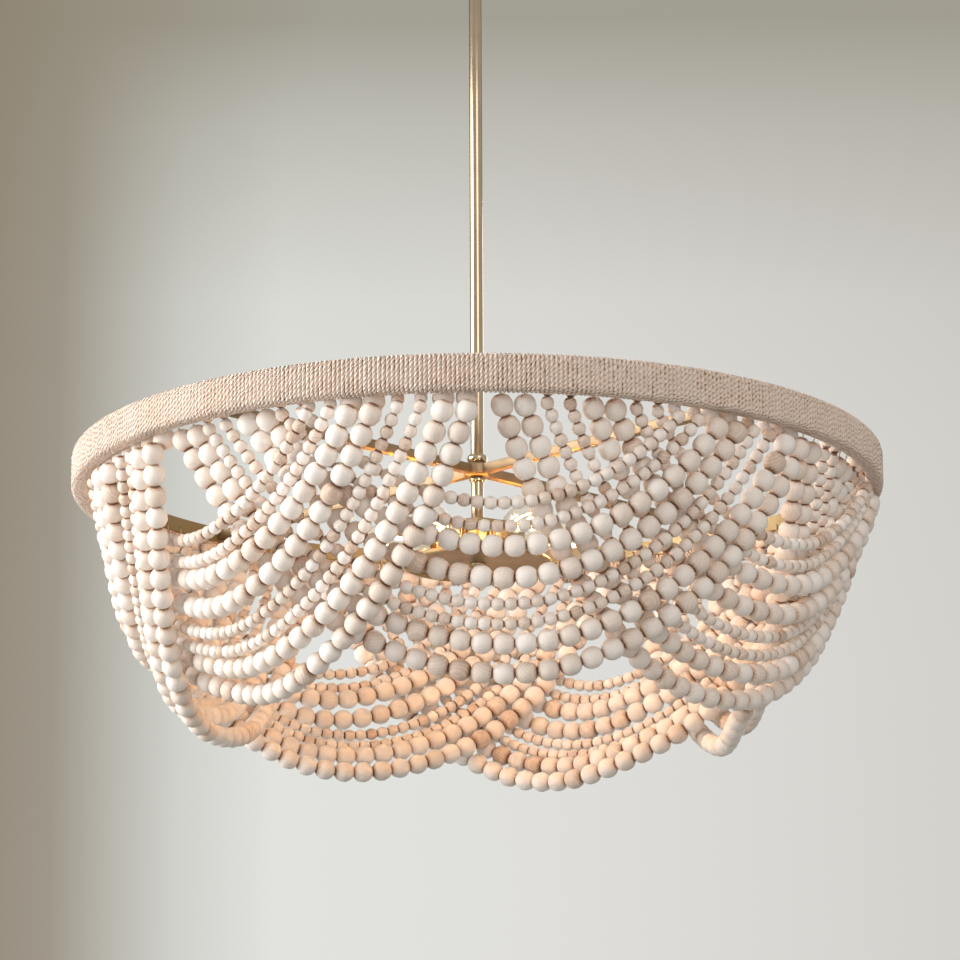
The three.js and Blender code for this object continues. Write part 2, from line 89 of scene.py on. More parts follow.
def linear(hex_colour):
    """A screen colour such as "d8c8b0" as linear red, green, blue and alpha."""
    parts = [int(hex_colour[i:i + 2], 16) / 255 for i in (0, 2, 4)]
    return (*(c / 12.92 if c < 0.04045 else ((c + 0.055) / 1.055) ** 2.4 for c in parts), 1.0)


def paint(name, text, hex_colour):
    """A colour setting, given as a screen colour and kept linear."""
    return FloatVectorProperty(
        name=name, description=text, default=linear(hex_colour), size=4, subtype="COLOR",
        min=0.0, max=1.0,
    )


def length(name, text, mm):
    """A length setting, given in millimetres and kept in metres."""
    return FloatProperty(
        name=name, description=text, default=mm * MM, subtype="DISTANCE", unit="LENGTH",
        precision=4,
    )


def amount(name, text, value):
    """A plain number."""
    return FloatProperty(name=name, description=text, default=value, precision=3)


def turn(name, text, degrees):
    """An angle setting, given in degrees and kept in radians."""
    return FloatProperty(
        name=name, description=text, default=radians(degrees), subtype="ANGLE", unit="ROTATION"
    )


def count(name, text, value):
    """A whole number."""
    return IntProperty(name=name, description=text, default=value, min=1)


class CHANDELIER_PG_camera(bpy.types.PropertyGroup):
    """Where the photograph was taken from"""

    distance: length("Distance", "How far in front of the stem the camera stands", 3810)
    height: length("Height", "The camera's height under the ceiling", -1547.1)
    lens: amount("Lens", "Focal length in millimetres", 156.35)
    sensor: amount("Sensor", "Width of the camera's sensor in millimetres", 36.0)
    pitch: turn("Pitch", "How far the camera looks up", 14.287)
    yaw: turn("Yaw", "How far the camera turns to its right", 0.038)
    roll: turn("Roll", "How far the camera leans", -0.26)
    reach: length("Reach", "How far the camera sees", 60000)


class CHANDELIER_PG_beads(bpy.types.PropertyGroup):
    """The swags of beads"""

    swags: count("Swags", "How many swags go round the hoop", 7)
    rows: count("Rows", "Rows of beads in a swag", 8)
    outer_rows: count("Outer rows", "Rows that belong to the outer half of a swag", 4)
    seat_radius: length("Seat radius", "Radius at which the rows leave the hoop", 363)
    seat_height: length("Seat height", "Height at which the rows leave the hoop", -596)
    bowl_drop: length("Bowl drop", "How far the longest row sags", 217)
    tuck: length("Tuck", "How far the lowest beads draw in under the bowl", 37)
    tuck_depth: length("Tuck depth", "The sag at which the tuck is reached", 225.03)
    tuck_power: amount("Tuck power", "How late the tuck begins", 5.0)
    wall_slope: amount("Wall slope", "Inward lean of the bowl's wall", 0.4)
    lap_rise: amount("Lap rise", "Part of the half swag over which it crosses the next layer", 0.4)
    lap_ease: amount("Lap ease", "Share of the half swag over which its end draws back", 0.12)
    lap_end: amount("Lap end", "What is left of the lap at the hoop", 0.8)
    lap_lean: turn("Lap lean", "How far below level one layer lies outside the next", 32)
    clearance: length("Clearance", "Room between two layers of beads", 0.6)
    large_diameter: length("Large bead", "Diameter of the large beads", 20)
    small_diameter: length("Small bead", "Diameter of the small beads", 12)
    large_pitch: length("Large pitch", "Spacing of the large beads on the thread", 19.4)
    small_pitch: length("Small pitch", "Spacing of the small beads on the thread", 11.6)
    large_rows: IntVectorProperty(
        name="Large rows", description="1 where a row has large beads", size=8,
        default=(1, 1, 0, 0, 1, 1, 0, 0),
    )
    drop_shares: FloatVectorProperty(
        name="Drop shares", description="Each row's sag as a share of the bowl drop", size=8,
        default=(1, 0.9, 0.835, 0.765, 0.67, 0.555, 0.485, 0.4),
    )
    swag_turns: FloatVectorProperty(
        name="Swag turns", description="How far each swag is turned from even spacing, in degrees",
        size=7, default=(1.7, 1.4, 1.6, 0.7, 0.8, 1.8, 0.7),
    )
    outer_slack: FloatVectorProperty(
        name="Outer slack", description="Extra sag of each swag's outer row", size=7,
        default=(0, 0, 0, 0.05, 0.015, 0, 0),
    )
    inner_slack: FloatVectorProperty(
        name="Inner slack", description="Extra sag of each swag's inner row", size=7,
        default=(-0.01, 0, 0.02, 0.15, 0.1, 0.02, 0),
    )
    thread_radius: length("Thread radius", "Radius of the thread through the beads", 0.65)
    barrel: amount("Barrel", "How square a bead's outline is, where 2 is round", 2.2)
    # Darkening round the bore: thinner wash, and painted shade where two beads meet.
    bore_wash_and_shade: amount("Bare ends", "How much darker a bead is round its bore", 2.5)
    large_tone: amount("Large tone", "How white the large beads are washed, from 0 to 1", 0.31)
    small_tone: amount("Small tone", "How white the small beads are washed, from 0 to 1", 0.25)
    tone_spread: amount("Tone spread", "How much the wash differs from bead to bead", 0.11)
    tilt: turn("Tilt", "How far a bead may lean on its thread", 3.2)
    seed: count("Seed", "Start of the random draws", 11)


class CHANDELIER_PG_hoop(bpy.types.PropertyGroup):
    """The hoop, its winding and the drilled band inside"""

    radius: length("Radius", "Outside radius over the winding", 381)
    thickness: length("Thickness", "Thickness over the winding", 15.7)
    height: length("Height", "Height over the winding", 34)
    drop: length("Drop", "From the ceiling to the hoop's top", 560)
    corner: length("Corner", "Rounding of the wound hoop's corners", 4.5)
    corner_steps: count("Corner steps", "Points on each corner", 3)
    turns: count("Turns", "Turns of cord round the hoop", 590)
    turn_steps: count("Turn steps", "Rings for each turn of cord", 4)
    groove: length("Groove", "Depth of the groove between two turns", 2.0)
    band_radius: length("Band radius", "Inside radius of the drilled band", 363)
    band_thickness: length("Band thickness", "Thickness of the drilled band", 2)
    band_height: length("Band height", "Height of the drilled band", 14.5)
    band_inset: length("Band inset", "From the hoop's top to the band's top", 0.6)
    hole_radius: length("Hole radius", "Radius of the band's holes", 1.45)
    hole_lift: length("Hole lift", "From the band's lower edge to a hole's middle", 3.6)
    hole_turn: turn("Hole turn", "How far the ring of holes is turned", 1.38)


class CHANDELIER_PG_fittings(bpy.types.PropertyGroup):
    """The brass stem, the hub, the arms and the lamp cluster"""

    stem_radius: length("Stem radius", "Radius of the stem", 6.15)
    lower_stem_radius: length("Lower stem radius", "Radius of the stem under the hub", 5.65)
    edge: length("Edge", "Easing of the bars' and plates' edges", 0.5)
    facets: count("Facets", "Steps round a turned piece", 48)
    lamps: count("Lamps", "Lamps round the cluster", 6)
    lamp_height: length("Lamp height", "Height of the lamps' axes", -636.5)
    bulb_radius: length("Bulb radius", "Largest radius of a bulb's glass", 17.5)
    glass_start: length("Glass start", "Where the glass begins, from the stem's middle", 44.6)
    glass_length: length("Glass length", "Length of a bulb's glass", 62)
    glow: amount("Glow", "Brightness of the filaments", 500.0)


class CHANDELIER_PG_colours(bpy.types.PropertyGroup):
    """The colours of the wood, the cord, the metals and the lamps"""

    # The bore colour is raw wood and painted shade where two beads meet.
    bead_bore_and_shade: paint("Bead bore", "Wood round a bead's bore, nearly without wash", "8c6b57")
    bead_dark: paint("Bead dark", "Wood under the thinnest wash", "c9ab95")
    bead_middle: paint("Bead middle", "Wood under a thin wash", "e9dbcf")
    bead_pale: paint("Bead pale", "Wood under a full wash", "f5eee8")
    bead_white: paint("Bead white", "Wood under the thickest wash", "fcf9f6")
    # Painted shade in the gaps between the turns of cord.
    cord_slit_shade: paint("Cord slit", "Gaps between the turns of cord", "704f3b")
    # Painted shade in the strands' valleys and painted light on their crests, over the fibres' own
    # tone.
    cord_valley_shade: paint("Cord dark", "Valleys between the cord's strands", "d4ae93")
    cord_middle: paint("Cord middle", "Sides of the cord's strands", "f4dac6")
    cord_lit_crest: paint("Cord light", "Crests of the cord's strands", "fdf0e6")
    thread_dark: paint("Thread dark", "Darker fibres of the bead thread", "b7a083")
    thread_light: paint("Thread light", "Lighter fibres of the bead thread", "dccbb2")
    stem_dark: paint("Stem dark", "Darker areas of the stem's brass", "a99780")
    stem_light: paint("Stem light", "Lighter areas of the stem's brass", "b3a189")
    bar_dark: paint("Bar dark", "Darker areas of the arms' brass", "84725a")
    bar_light: paint("Bar light", "Lighter areas of the arms' brass", "917f66")
    polished_dark: paint("Polished dark", "Darker areas of the polished brass", "ab9a80")
    polished_light: paint("Polished light", "Lighter areas of the polished brass", "b8a78c")
    band_dark: paint("Band dark", "Darker areas of the drilled band", "8f7b58")
    band_light: paint("Band light", "Lighter areas of the drilled band", "9c8865")
    socket_dark: paint("Socket dark", "Darker areas of the lamp holders' brass", "8d7a5a")
    socket_light: paint("Socket light", "Lighter areas of the lamp holders' brass", "9a8766")
    steel_dark: paint("Steel dark", "Darker areas of the plated steel", "9a9c9e")
    steel_light: paint("Steel light", "Lighter areas of the plated steel", "b9bbbc")
    hoop_dark: paint("Hoop dark", "Darker grain of the wooden hoop", "b08a5e")
    hoop_light: paint("Hoop light", "Lighter grain of the wooden hoop", "cfae82")
    glass_clear: paint("Glass clear", "Tint of what is seen through the glass", "fdfaf4")
    glass_shine: paint("Glass shine", "Tint of what the glass reflects", "fff8ee")
    filament_dark: paint("Filament dark", "Cooler parts of the filaments", "ffb054")
    filament_light: paint("Filament light", "Hotter parts of the filaments", "ffc06c")


class CHANDELIER_PG_stage(bpy.types.PropertyGroup):
    """The wall, the floor and the lights"""

    wall_distance: length("Wall distance", "How far behind the stem the wall stands", 8000)
    wall_height: length("Wall height", "Height of the wall's middle", -400)
    floor_height: length("Floor height", "Height of the floor", -6000)
    sheet_reach: length("Sheet reach", "Half the width of the wall and of the floor", 12000)
    aim_height: length("Aim height", "Height on the stem's line that the lamps point at", -650)
    left_power: amount("Left power", "Power of the wide lamp on the left, in watts", 177.0)
    right_power: amount("Right power", "Power of the lamp at the front right, in watts", 35.0)
    low_power: amount("Low power", "Power of the lamp low at the front, in watts", 29.0)
    back_power: amount("Back power", "Power of the lamp at the back right, in watts", 52.0)
    ambient: amount("Ambient", "Strength of the light from all round", 0.31)
    ambient_colour: paint("Ambient colour", "Colour of the light from all round", "f2efea")
    background: paint("Background", "Colour seen past the wall and the floor", "dcdbd6")
    window_colour: paint("Window colour", "Light of the left and back lamps", "fffaf4")
    right_colour: paint("Right colour", "Light of the lamp at the front right", "fff6ee")
    low_colour: paint("Low colour", "Light of the lamp low at the front", "fff8f2")
    floor_dark: paint("Floor dark", "Darker areas of the floor", "d9d8d3")
    floor_light: paint("Floor light", "Lighter areas of the floor", "dddcd7")
    wall_edge: paint("Wall edge", "The wall at its left edge", "958c7c")
    wall_left: paint("Wall left", "The wall just inside its left edge", "9f978a")
    wall_turn: paint("Wall turn", "Where the wall turns pale", "d0d1cb")
    wall_pale: paint("Wall pale", "The wall at its palest", "e2e3de")
    wall_middle: paint("Wall middle", "The middle of the wall", "e0dfdb")
    wall_right: paint("Wall right", "The wall at its right edge", "d3d1cc")
    # Painted shade of the wall under the ceiling.
    ceiling_shade_left: paint("Upper left", "The wall under the ceiling at its left edge", "908775")
    ceiling_shade_middle: paint("Upper middle", "The wall under the ceiling left of its middle", "a3a094")
    ceiling_shade_right: paint("Upper right", "The wall under the ceiling at its right edge", "a29e92")


GROUPS = {
    "chandelier_camera": CHANDELIER_PG_camera,
    "chandelier_beads": CHANDELIER_PG_beads,
    "chandelier_hoop": CHANDELIER_PG_hoop,
    "chandelier_fittings": CHANDELIER_PG_fittings,
    "chandelier_colours": CHANDELIER_PG_colours,
    "chandelier_stage": CHANDELIER_PG_stage,
}


# ---------------------------------------------------------------- materials


def add(tree, kind, x, y, inputs=None, stops=(), **settings):
    """Adds a shader node at x, y. inputs gives numbers, or sockets or nodes to link, by name or
    number, and stops gives a ramp's places and colours.
    """
    made = tree.nodes.new("ShaderNode" + kind)
    made.location = (x, y)
    for key, value in settings.items():
        setattr(made, key, value)
    for key, value in (inputs or {}).items():
        if isinstance(value, bpy.types.Node):
            value = value.outputs[0]
        if isinstance(value, bpy.types.NodeSocket):
            tree.links.new(value, made.inputs[key])
        else:
            made.inputs[key].default_value = value
    if stops:
        elements = made.color_ramp.elements
        while len(elements) < len(stops):
            elements.new(0.5)
        for element, (place, colour) in zip(elements, stops):
            element.position = place
            element.color = colour
    return made


def new_material(name):
    """An empty material and its node tree."""
    material = bpy.data.materials.new(name)
    material.use_nodes = True
    material.node_tree.nodes.clear()
    return material, material.node_tree


def seen_directly(tree, x, y):
    """1 for a ray from the camera, and for one that a shiny or clear surface passes on."""
    rays = add(tree, "LightPath", x, y).outputs
    passed = add(tree, "Math", x + 200, y - 100, {
        0: rays["Is Glossy Ray"], 1: rays["Is Transmission Ray"]}, operation="MAXIMUM")
    return add(tree, "Math", x + 400, y, {
        0: rays["Is Camera Ray"], 1: passed}, operation="MAXIMUM")


def speckled(tree, y, per_metre, detail, dark, light):
    """Two colours that run into each other, per_metre times along X, Y and Z."""
    where = add(tree, "TexCoord", -1000, y).outputs["Object"]
    stretched = add(tree, "Mapping", -800, y, {"Vector": where, "Scale": per_metre})
    speckles = add(tree, "TexNoise", -600, y, {
        "Vector": stretched, "Scale": 1.0, "Detail": detail})
    return add(tree, "ValToRGB", -300, y, {"Fac": speckles}, [(0.3, dark), (0.7, light)])


def bead_wood(scene):
    """Whitewashed hevea or beech: turned on a lathe, limed pale, sealed with a dull wax."""
    c = scene.chandelier_colours
    material, tree = new_material("whitewashed_bead_wood")
    tone = add(tree, "Attribute", -1200, 300, attribute_name="tone").outputs["Fac"]
    # The place in the plank that the bead was cut from, in millimetres.
    grain = add(tree, "Attribute", -1200, 0, attribute_name="grain").outputs["Vector"]
    # Growth rings 3 mm apart, a little wavy.
    rings = add(tree, "TexWave", -800, 100, {
        "Vector": grain, "Scale": 0.11, "Distortion": 6.5, "Detail": 2.0, "Detail Scale": 0.2,
    }, wave_type="BANDS", bands_direction="X").outputs["Fac"]
    # Short dark pores, 0.6 mm across and 4 mm long: coarser than real ones, so that they show.
    stretched = add(tree, "Mapping", -1000, -200, {"Vector": grain, "Scale": (1.6, 1.6, 0.25)})
    pores = add(tree, "TexNoise", -800, -200, {
        "Vector": stretched, "Scale": 1.0, "Detail": 3.0, "Roughness": 0.6})
    for x, pattern, share in ((-500, rings, 0.055), (-350, pores, 0.3)):
        tone = add(tree, "Math", x, 0, {0: pattern, 1: share, 2: tone}, operation="MULTIPLY_ADD")
    # The ramp's darkest stop is raw wood and painted shade round the bores, where beads meet.
    colour = add(tree, "ValToRGB", -200, 0, {"Fac": tone}, [
        (0.0, c.bead_bore_and_shade), (0.16, c.bead_dark), (0.34, c.bead_middle), (0.55, c.bead_pale),
        (0.9, c.bead_white),
    ])
    relief = add(tree, "Bump", 100, -300, {
        "Height": pores, "Strength": 0.25, "Distance": 0.2 * MM})
    surface = add(tree, "BsdfPrincipled", 400, 0, {
        "Base Color": colour, "Roughness": 0.58, "Specular IOR Level": 0.35, "Normal": relief})
    add(tree, "OutputMaterial", 900, 0, {"Surface": surface})
    return material


def cord_winding(scene):
    """Cotton or jute cord laid in strands, wound tightly round the hoop, unsealed."""
    c = scene.chandelier_colours
    strand_pitch = 4.8 * MM
    material, tree = new_material("wound_cord")
    where = add(tree, "TexCoord", -1900, 0).outputs["Object"]
    axes = add(tree, "SeparateXYZ", -1700, 0, {"Vector": where}).outputs
    angle = add(tree, "Math", -1500, 200, {0: axes["Y"], 1: axes["X"]}, operation="ARCTAN2")
    count_up = add(tree, "Math", -1350, 200, {
        0: angle, 1: scene.chandelier_hoop.turns / tau}, operation="MULTIPLY")
    number = add(tree, "Math", -1200, 300, {0: count_up}, operation="FLOOR")
    across = add(tree, "Math", -1200, 100, {0: count_up}, operation="FRACT")
    chance = add(tree, "TexWhiteNoise", -1000, 400, {"W": number}, noise_dimensions="1D")
    # Along the cord: height on the hoop's faces, radius on its top and underside.
    flat = add(tree, "CombineXYZ", -1500, -200, {"X": axes["X"], "Y": axes["Y"]})
    radius = add(tree, "VectorMath", -1350, -200, {0: flat}, operation="LENGTH").outputs["Value"]
    lengthwise = add(tree, "Math", -1200, -200, {0: radius, 1: axes["Z"]}, operation="ADD")
    # Strands lie slanted across the cord, start anywhere in each turn, and wander over 11 mm.
    wander = add(tree, "TexNoise", -1000, -600, {"Vector": where, "Scale": 90.0, "Detail": 1.0})
    strand = add(tree, "Math", -1000, -200, {
        0: lengthwise, 1: pi / strand_pitch}, operation="MULTIPLY")
    for x, part, share in ((-850, across, -3.9), (-700, chance, pi), (-620, wander, 4.0)):
        strand = add(tree, "Math", x, -200, {
            0: part, 1: share, 2: strand}, operation="MULTIPLY_ADD")
    ridge = add(tree, "Math", -550, -200, {0: strand}, operation="SINE")
    wave = add(tree, "Math", -400, -200, {0: ridge}, operation="ABSOLUTE")
    # Fibres 0.7 mm across, and patches of 45 mm.
    fibres = add(tree, "TexNoise", -700, -450, {
        "Vector": where, "Scale": 1500.0, "Detail": 4.0, "Roughness": 0.65})
    patches = add(tree, "TexNoise", -700, -650, {"Vector": where, "Scale": 22.0, "Detail": 2.0})
    # 1 on the crest of a turn, 0 in the groove between two turns.
    half_turn = add(tree, "Math", -850, 100, {0: across, 1: pi}, operation="MULTIPLY")
    crest = add(tree, "Math", -700, 100, {0: half_turn}, operation="SINE")
    # Painted shade and light: darker in the valleys between strands and in the groove between
    # turns, lighter on their crests. Fibres, turns and patches differ at random.
    tone = add(tree, "Math", -400, 0, {0: wave, 1: 0.3}, operation="MULTIPLY")
    for x, part, share in (
        (-250, fibres, 0.4), (-100, chance, 0.1), (0, crest, 0.22), (100, patches, 0.16),
    ):
        tone = add(tree, "Math", x, 0, {0: part, 1: share, 2: tone}, operation="MULTIPLY_ADD")
    # Painted shade: dark streaks in the groove, about 8 mm long, where two turns don't quite
    # touch.
    gaps = add(tree, "TexNoise", -700, 650, {"Vector": where, "Scale": 130.0, "Detail": 1.0})
    gaps = add(tree, "MapRange", -500, 650, {
        "Value": gaps, "From Min": 0.5, "From Max": 0.62, "To Min": 0.0, "To Max": 0.3})
    valley = add(tree, "Math", -500, 400, {0: 1.0, 1: crest}, operation="SUBTRACT")
    groove = add(tree, "Math", -350, 400, {0: valley, 1: 1.5}, operation="POWER")
    slit_shade = add(tree, "Math", -300, 600, {0: gaps, 1: groove}, operation="MULTIPLY")
    tone = add(tree, "Math", 150, 100, {0: tone, 1: slit_shade}, operation="SUBTRACT")
    # The ramp runs from painted shade in the slits and valleys to painted light on the crests.
    colour = add(tree, "ValToRGB", 200, 0, {"Fac": tone}, [
        (0.2, c.cord_slit_shade), (0.4, c.cord_valley_shade), (0.56, c.cord_middle), (0.86, c.cord_lit_crest),
    ])
    height = add(tree, "Math", 50, -300, {0: fibres, 1: 0.5, 2: wave}, operation="MULTIPLY_ADD")
    relief = add(tree, "Bump", 250, -300, {
        "Height": height, "Strength": 1.0, "Distance": 1.3 * MM})
    surface = add(tree, "BsdfPrincipled", 550, 0, {
        "Base Color": colour, "Roughness": 0.88, "Specular IOR Level": 0.2,
        "Sheen Weight": 0.25, "Sheen Roughness": 0.5, "Normal": relief,
    })
    add(tree, "OutputMaterial", 900, 0, {"Surface": surface})
    return material


def thread_cotton(scene):
    """Waxed cotton thread, natural colour, its twist in light and dark parts of 1.1 mm."""
    c = scene.chandelier_colours
    material, tree = new_material("waxed_cotton_thread")
    colour = speckled(tree, 0, (900, 900, 900), 2.0, c.thread_dark, c.thread_light)
    surface = add(tree, "BsdfPrincipled", 300, 0, {"Base Color": colour, "Roughness": 0.8})
    add(tree, "OutputMaterial", 900, 0, {"Surface": surface})
    return material


def metal(scene, name, colour, roughness, unevenness, stretch):
    """A worked metal, cloudy over 36 mm, with finer marks."""
    c = scene.chandelier_colours
    material, tree = new_material(name)
    clouds = speckled(
        tree, -600, (28, 28, 28), 2.0, getattr(c, colour + "_dark"), getattr(c, colour + "_light"))
    where = add(tree, "TexCoord", -1000, 0).outputs["Object"]
    stretched = add(tree, "Mapping", -800, 0, {"Vector": where, "Scale": stretch})
    marks = add(tree, "TexNoise", -600, 0, {
        "Vector": stretched, "Scale": 1.0, "Detail": 4.0, "Roughness": 0.6})
    rough = add(tree, "MapRange", -300, 0, {
        "Value": marks, "From Min": 0.3, "From Max": 0.7,
        "To Min": roughness - unevenness, "To Max": roughness + unevenness,
    })
    relief = add(tree, "Bump", 0, -300, {
        "Height": marks, "Strength": 0.05, "Distance": 0.1 * MM})
    surface = add(tree, "BsdfPrincipled", 400, 0, {
        "Base Color": clouds, "Metallic": 1.0, "Roughness": rough, "Normal": relief})
    add(tree, "OutputMaterial", 900, 0, {"Surface": surface})
    return material


def hoop_wood(scene):
    """Bent plywood or beech strip, raw, hidden by the winding: grain 1.7 mm high, 25 mm long."""
    c = scene.chandelier_colours
    material, tree = new_material("bent_beech_strip")
    colour = speckled(tree, 0, (40, 40, 600), 3.0, c.hoop_dark, c.hoop_light)
    surface = add(tree, "BsdfPrincipled", 300, 0, {"Base Color": colour, "Roughness": 0.65})
    add(tree, "OutputMaterial", 900, 0, {"Surface": surface})
    return material


def lamp_glass(scene):
    """Clear blown soda-lime glass, thin walled: see-through, with reflections near its edges."""
    c = scene.chandelier_colours
    material, tree = new_material("clear_blown_glass")
    where = add(tree, "TexCoord", -800, -200).outputs["Object"]
    # Streaks from blowing, 17 mm across.
    streaks = add(tree, "TexNoise", -600, -200, {"Vector": where, "Scale": 60.0, "Detail": 1.0})
    rough = add(tree, "MapRange", -300, -200, {"Value": streaks, "To Min": 0.02, "To Max": 0.08})
    edge = add(tree, "LayerWeight", -600, 200, {"Blend": 0.3}).outputs["Facing"]
    share = add(tree, "MapRange", -300, 200, {"Value": edge, "To Min": 0.03, "To Max": 0.4})
    clear = add(tree, "BsdfTransparent", 0, 100, {"Color": c.glass_clear})
    shine = add(tree, "BsdfGlossy", 0, -100, {"Color": c.glass_shine, "Roughness": rough})
    surface = add(tree, "MixShader", 300, 0, {0: share, 1: clear, 2: shine})
    add(tree, "OutputMaterial", 900, 0, {"Surface": surface})
    return material


def filament_glow(scene):
    """Tungsten filament at about 2700 K, a small warm spark, hotter and cooler over 3 mm."""
    c = scene.chandelier_colours
    material, tree = new_material("glowing_filament")
    colour = speckled(tree, 0, (300, 300, 300), 2.0, c.filament_dark, c.filament_light)
    surface = add(tree, "Emission", 300, 0, {
        "Color": colour, "Strength": scene.chandelier_fittings.glow})
    add(tree, "OutputMaterial", 900, 0, {"Surface": surface})
    return material


# Each metal's full name, the settings with its colours, its roughness, how much that differs
# from place to place, and how often its marks repeat in a metre along X, Y and Z.
METALS = {
    # Solid brass, brushed lengthwise and lacquered, a champagne tone: marks 170 mm long.
    "stem_brass": ("brushed_champagne_brass", "stem", 0.18, 0.03, (300, 300, 6)),
    # Solid brass bar, drawn, dull satin lacquer gone a little olive: marks of 8 mm.
    "bar_brass": ("satin_brass_bar", "bar", 0.48, 0.05, (120, 120, 120)),
    # Cast and polished brass of the collars: turning marks 2 mm apart.
    "polished_brass": ("polished_brass", "polished", 0.13, 0.03, (120, 120, 500)),
    # Rolled brass strip of the drilled band, satin, beige gold: marks run along the strip.
    "band_brass": ("satin_brass_strip", "band", 0.5, 0.05, (60, 60, 900)),
    # Pressed brass of the lamp holders: marks of 11 mm.
    "socket_brass": ("pressed_brass", "socket", 0.34, 0.05, (90, 90, 90)),
    # Zinc plated steel of the hidden mount: a spangle of 7 mm.
    "steel": ("zinc_plated_steel", "steel", 0.32, 0.08, (150, 150, 150)),
}
MAKERS = {
    "bead": bead_wood,
    "winding": cord_winding,
    "thread": thread_cotton,
    "hoop_wood": hoop_wood,
    "glass": lamp_glass,
    "glow": filament_glow,
}
MATERIALS = {}


def material_of(name):
    """One of the named materials, made the first time it is asked for."""
    if name not in MATERIALS:
        scene = bpy.context.scene
        MATERIALS[name] = metal(scene, *METALS[name]) if name in METALS else MAKERS[name](scene)
    return MATERIALS[name]


# ---------------------------------------------------------------- shared tools


def at(angle, radius, height):
    """The place at an angle from the front towards +X, at a radius and a height."""
    return Vector((radius * sin(angle), -radius * cos(angle), height))


def finish_piece(mesh, name, material, body="pendant", nodes=(), smooth=38.0):
    """Makes the object, shades it, hangs it on its body's empty, and hides the CAD nodes that it
    replaces.
    """
    for polygon in mesh.polygons:
        polygon.use_smooth = True
    mesh.set_sharp_from_angle(angle=radians(smooth))
    mesh.materials.clear()
    mesh.materials.append(material_of(material))
    obj = bpy.data.objects.new(name, mesh)
    bpy.context.scene.collection.objects.link(obj)
    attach(obj, body)
    if nodes:
        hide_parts(*nodes)


def to_mesh(bm, name, matrix=None):
    """Closes a bmesh into a mesh, turned and moved by matrix."""
    mesh = bpy.data.meshes.new(name)
    if matrix is not None:
        bm.transform(matrix)
    bm.to_mesh(mesh)
    bm.free()
    return mesh


def spin(bm, profile, steps, closed=False, merge=1e-6):
    """Spins (radius, height) points once round the Z axis."""
    points = [bm.verts.new((r, 0.0, z)) for r, z in profile]
    pairs = list(zip(points, points[1:])) + ([(points[-1], points[0])] if closed else [])
    edges = [bm.edges.new(pair) for pair in pairs]
    bmesh.ops.spin(
        bm, geom=points + edges, cent=(0, 0, 0), axis=(0, 0, 1), angle=tau, steps=steps,
        use_merge=True,
    )
    bmesh.ops.remove_doubles(bm, verts=bm.verts[:], dist=merge)
    bmesh.ops.recalc_face_normals(bm, faces=bm.faces[:])


def ease_edges(bm, width, sharper_than=30.0):
    """Rounds the edges that turn by more than an angle."""
    edges = [
        e for e in bm.edges
        if len(e.link_faces) == 2 and e.calc_face_angle(0.0) > radians(sharper_than)
    ]
    if edges and width > 0:
        bmesh.ops.bevel(
            bm, geom=edges, offset=width, offset_type="OFFSET", segments=2, profile=0.5,
            affect="EDGES", clamp_overlap=True, material=-1,
        )


def turned_piece(name, profile, material, slot, nodes=(), smooth=38.0, closed=False, facets=None,
                 ease=0.0, matrix=None):
    """A piece spun from (radius, height) points, its edges rounded, turned and moved by matrix."""
    bm = bmesh.new()
    spin(bm, profile, facets or bpy.context.scene.chandelier_fittings.facets, closed)
    ease_edges(bm, ease)
    finish_piece(to_mesh(bm, name, matrix), name, material, nodes=nodes, smooth=smooth)


def eased_copy(node, name, material, body="pendant", ease=None, sharper_than=30.0):
    """A CAD node's own shape with its loose triangles merged and its edges rounded."""
    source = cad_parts[node]
    bm = bmesh.new()
    bm.from_mesh(source.data)
    bm.transform(source.matrix_world)
    bmesh.ops.remove_doubles(bm, verts=bm.verts[:], dist=1e-6)
    bmesh.ops.dissolve_limit(
        bm, angle_limit=radians(0.5), verts=bm.verts[:], edges=bm.edges[:],
    )
    bmesh.ops.recalc_face_normals(bm, faces=bm.faces[:])
    if ease is None:
        ease = bpy.context.scene.chandelier_fittings.edge
    ease_edges(bm, ease, sharper_than)
    finish_piece(to_mesh(bm, name), name, material, body, (node,))


def keep_node(node, material):
    """Leaves a hidden CAD node as it is and gives it its finish."""
    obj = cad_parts[node]
    obj.data.materials.clear()
    obj.data.materials.append(material_of(material))


def tubes(name, lines, radius, resolution=1):
    """One mesh of round tubes along lists of points."""
    data = bpy.data.curves.new(name, "CURVE")
    data.dimensions = "3D"
    data.bevel_depth = radius
    data.bevel_resolution = resolution
    data.use_fill_caps = True
    for line in lines:
        spline = data.splines.new("POLY")
        spline.points.add(len(line) - 1)
        for point, place in zip(spline.points, line):
            point.co = (*place, 1.0)
    obj = bpy.data.objects.new(name, data)
    bpy.context.scene.collection.objects.link(obj)
    graph = bpy.context.evaluated_depsgraph_get()
    mesh = bpy.data.meshes.new_from_object(obj.evaluated_get(graph))
    bpy.data.objects.remove(obj)
    bpy.data.curves.remove(data)
    mesh.name = name
    return mesh


def span(node):
    """Lowest and highest corner of a CAD node."""
    low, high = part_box(node)
    return Vector(low), Vector(high)


# ---------------------------------------------------------------- rows of beads


def catenary_scale(half_span, drop):
    """The scale of the hanging curve that sags by drop over twice half_span."""
    # The range from a very slack curve to a nearly straight one is halved until it is exact.
    low, high = half_span * 0.05, half_span * 400
    for _ in range(90):
        middle = (low + high) / 2
        if middle * (cosh(half_span / middle) - 1) > drop:
            low = middle
        else:
            high = middle
    return (low + high) / 2


def row_ends(s, swag, row):
    """The angle of a swag's middle and half the angle that a row spans, from the front."""
    pitch = tau / s.swags
    half = (2 * s.rows - 0.5 - row) * pitch / (2 * s.rows)
    return swag * pitch + radians(s.swag_turns[swag]), half


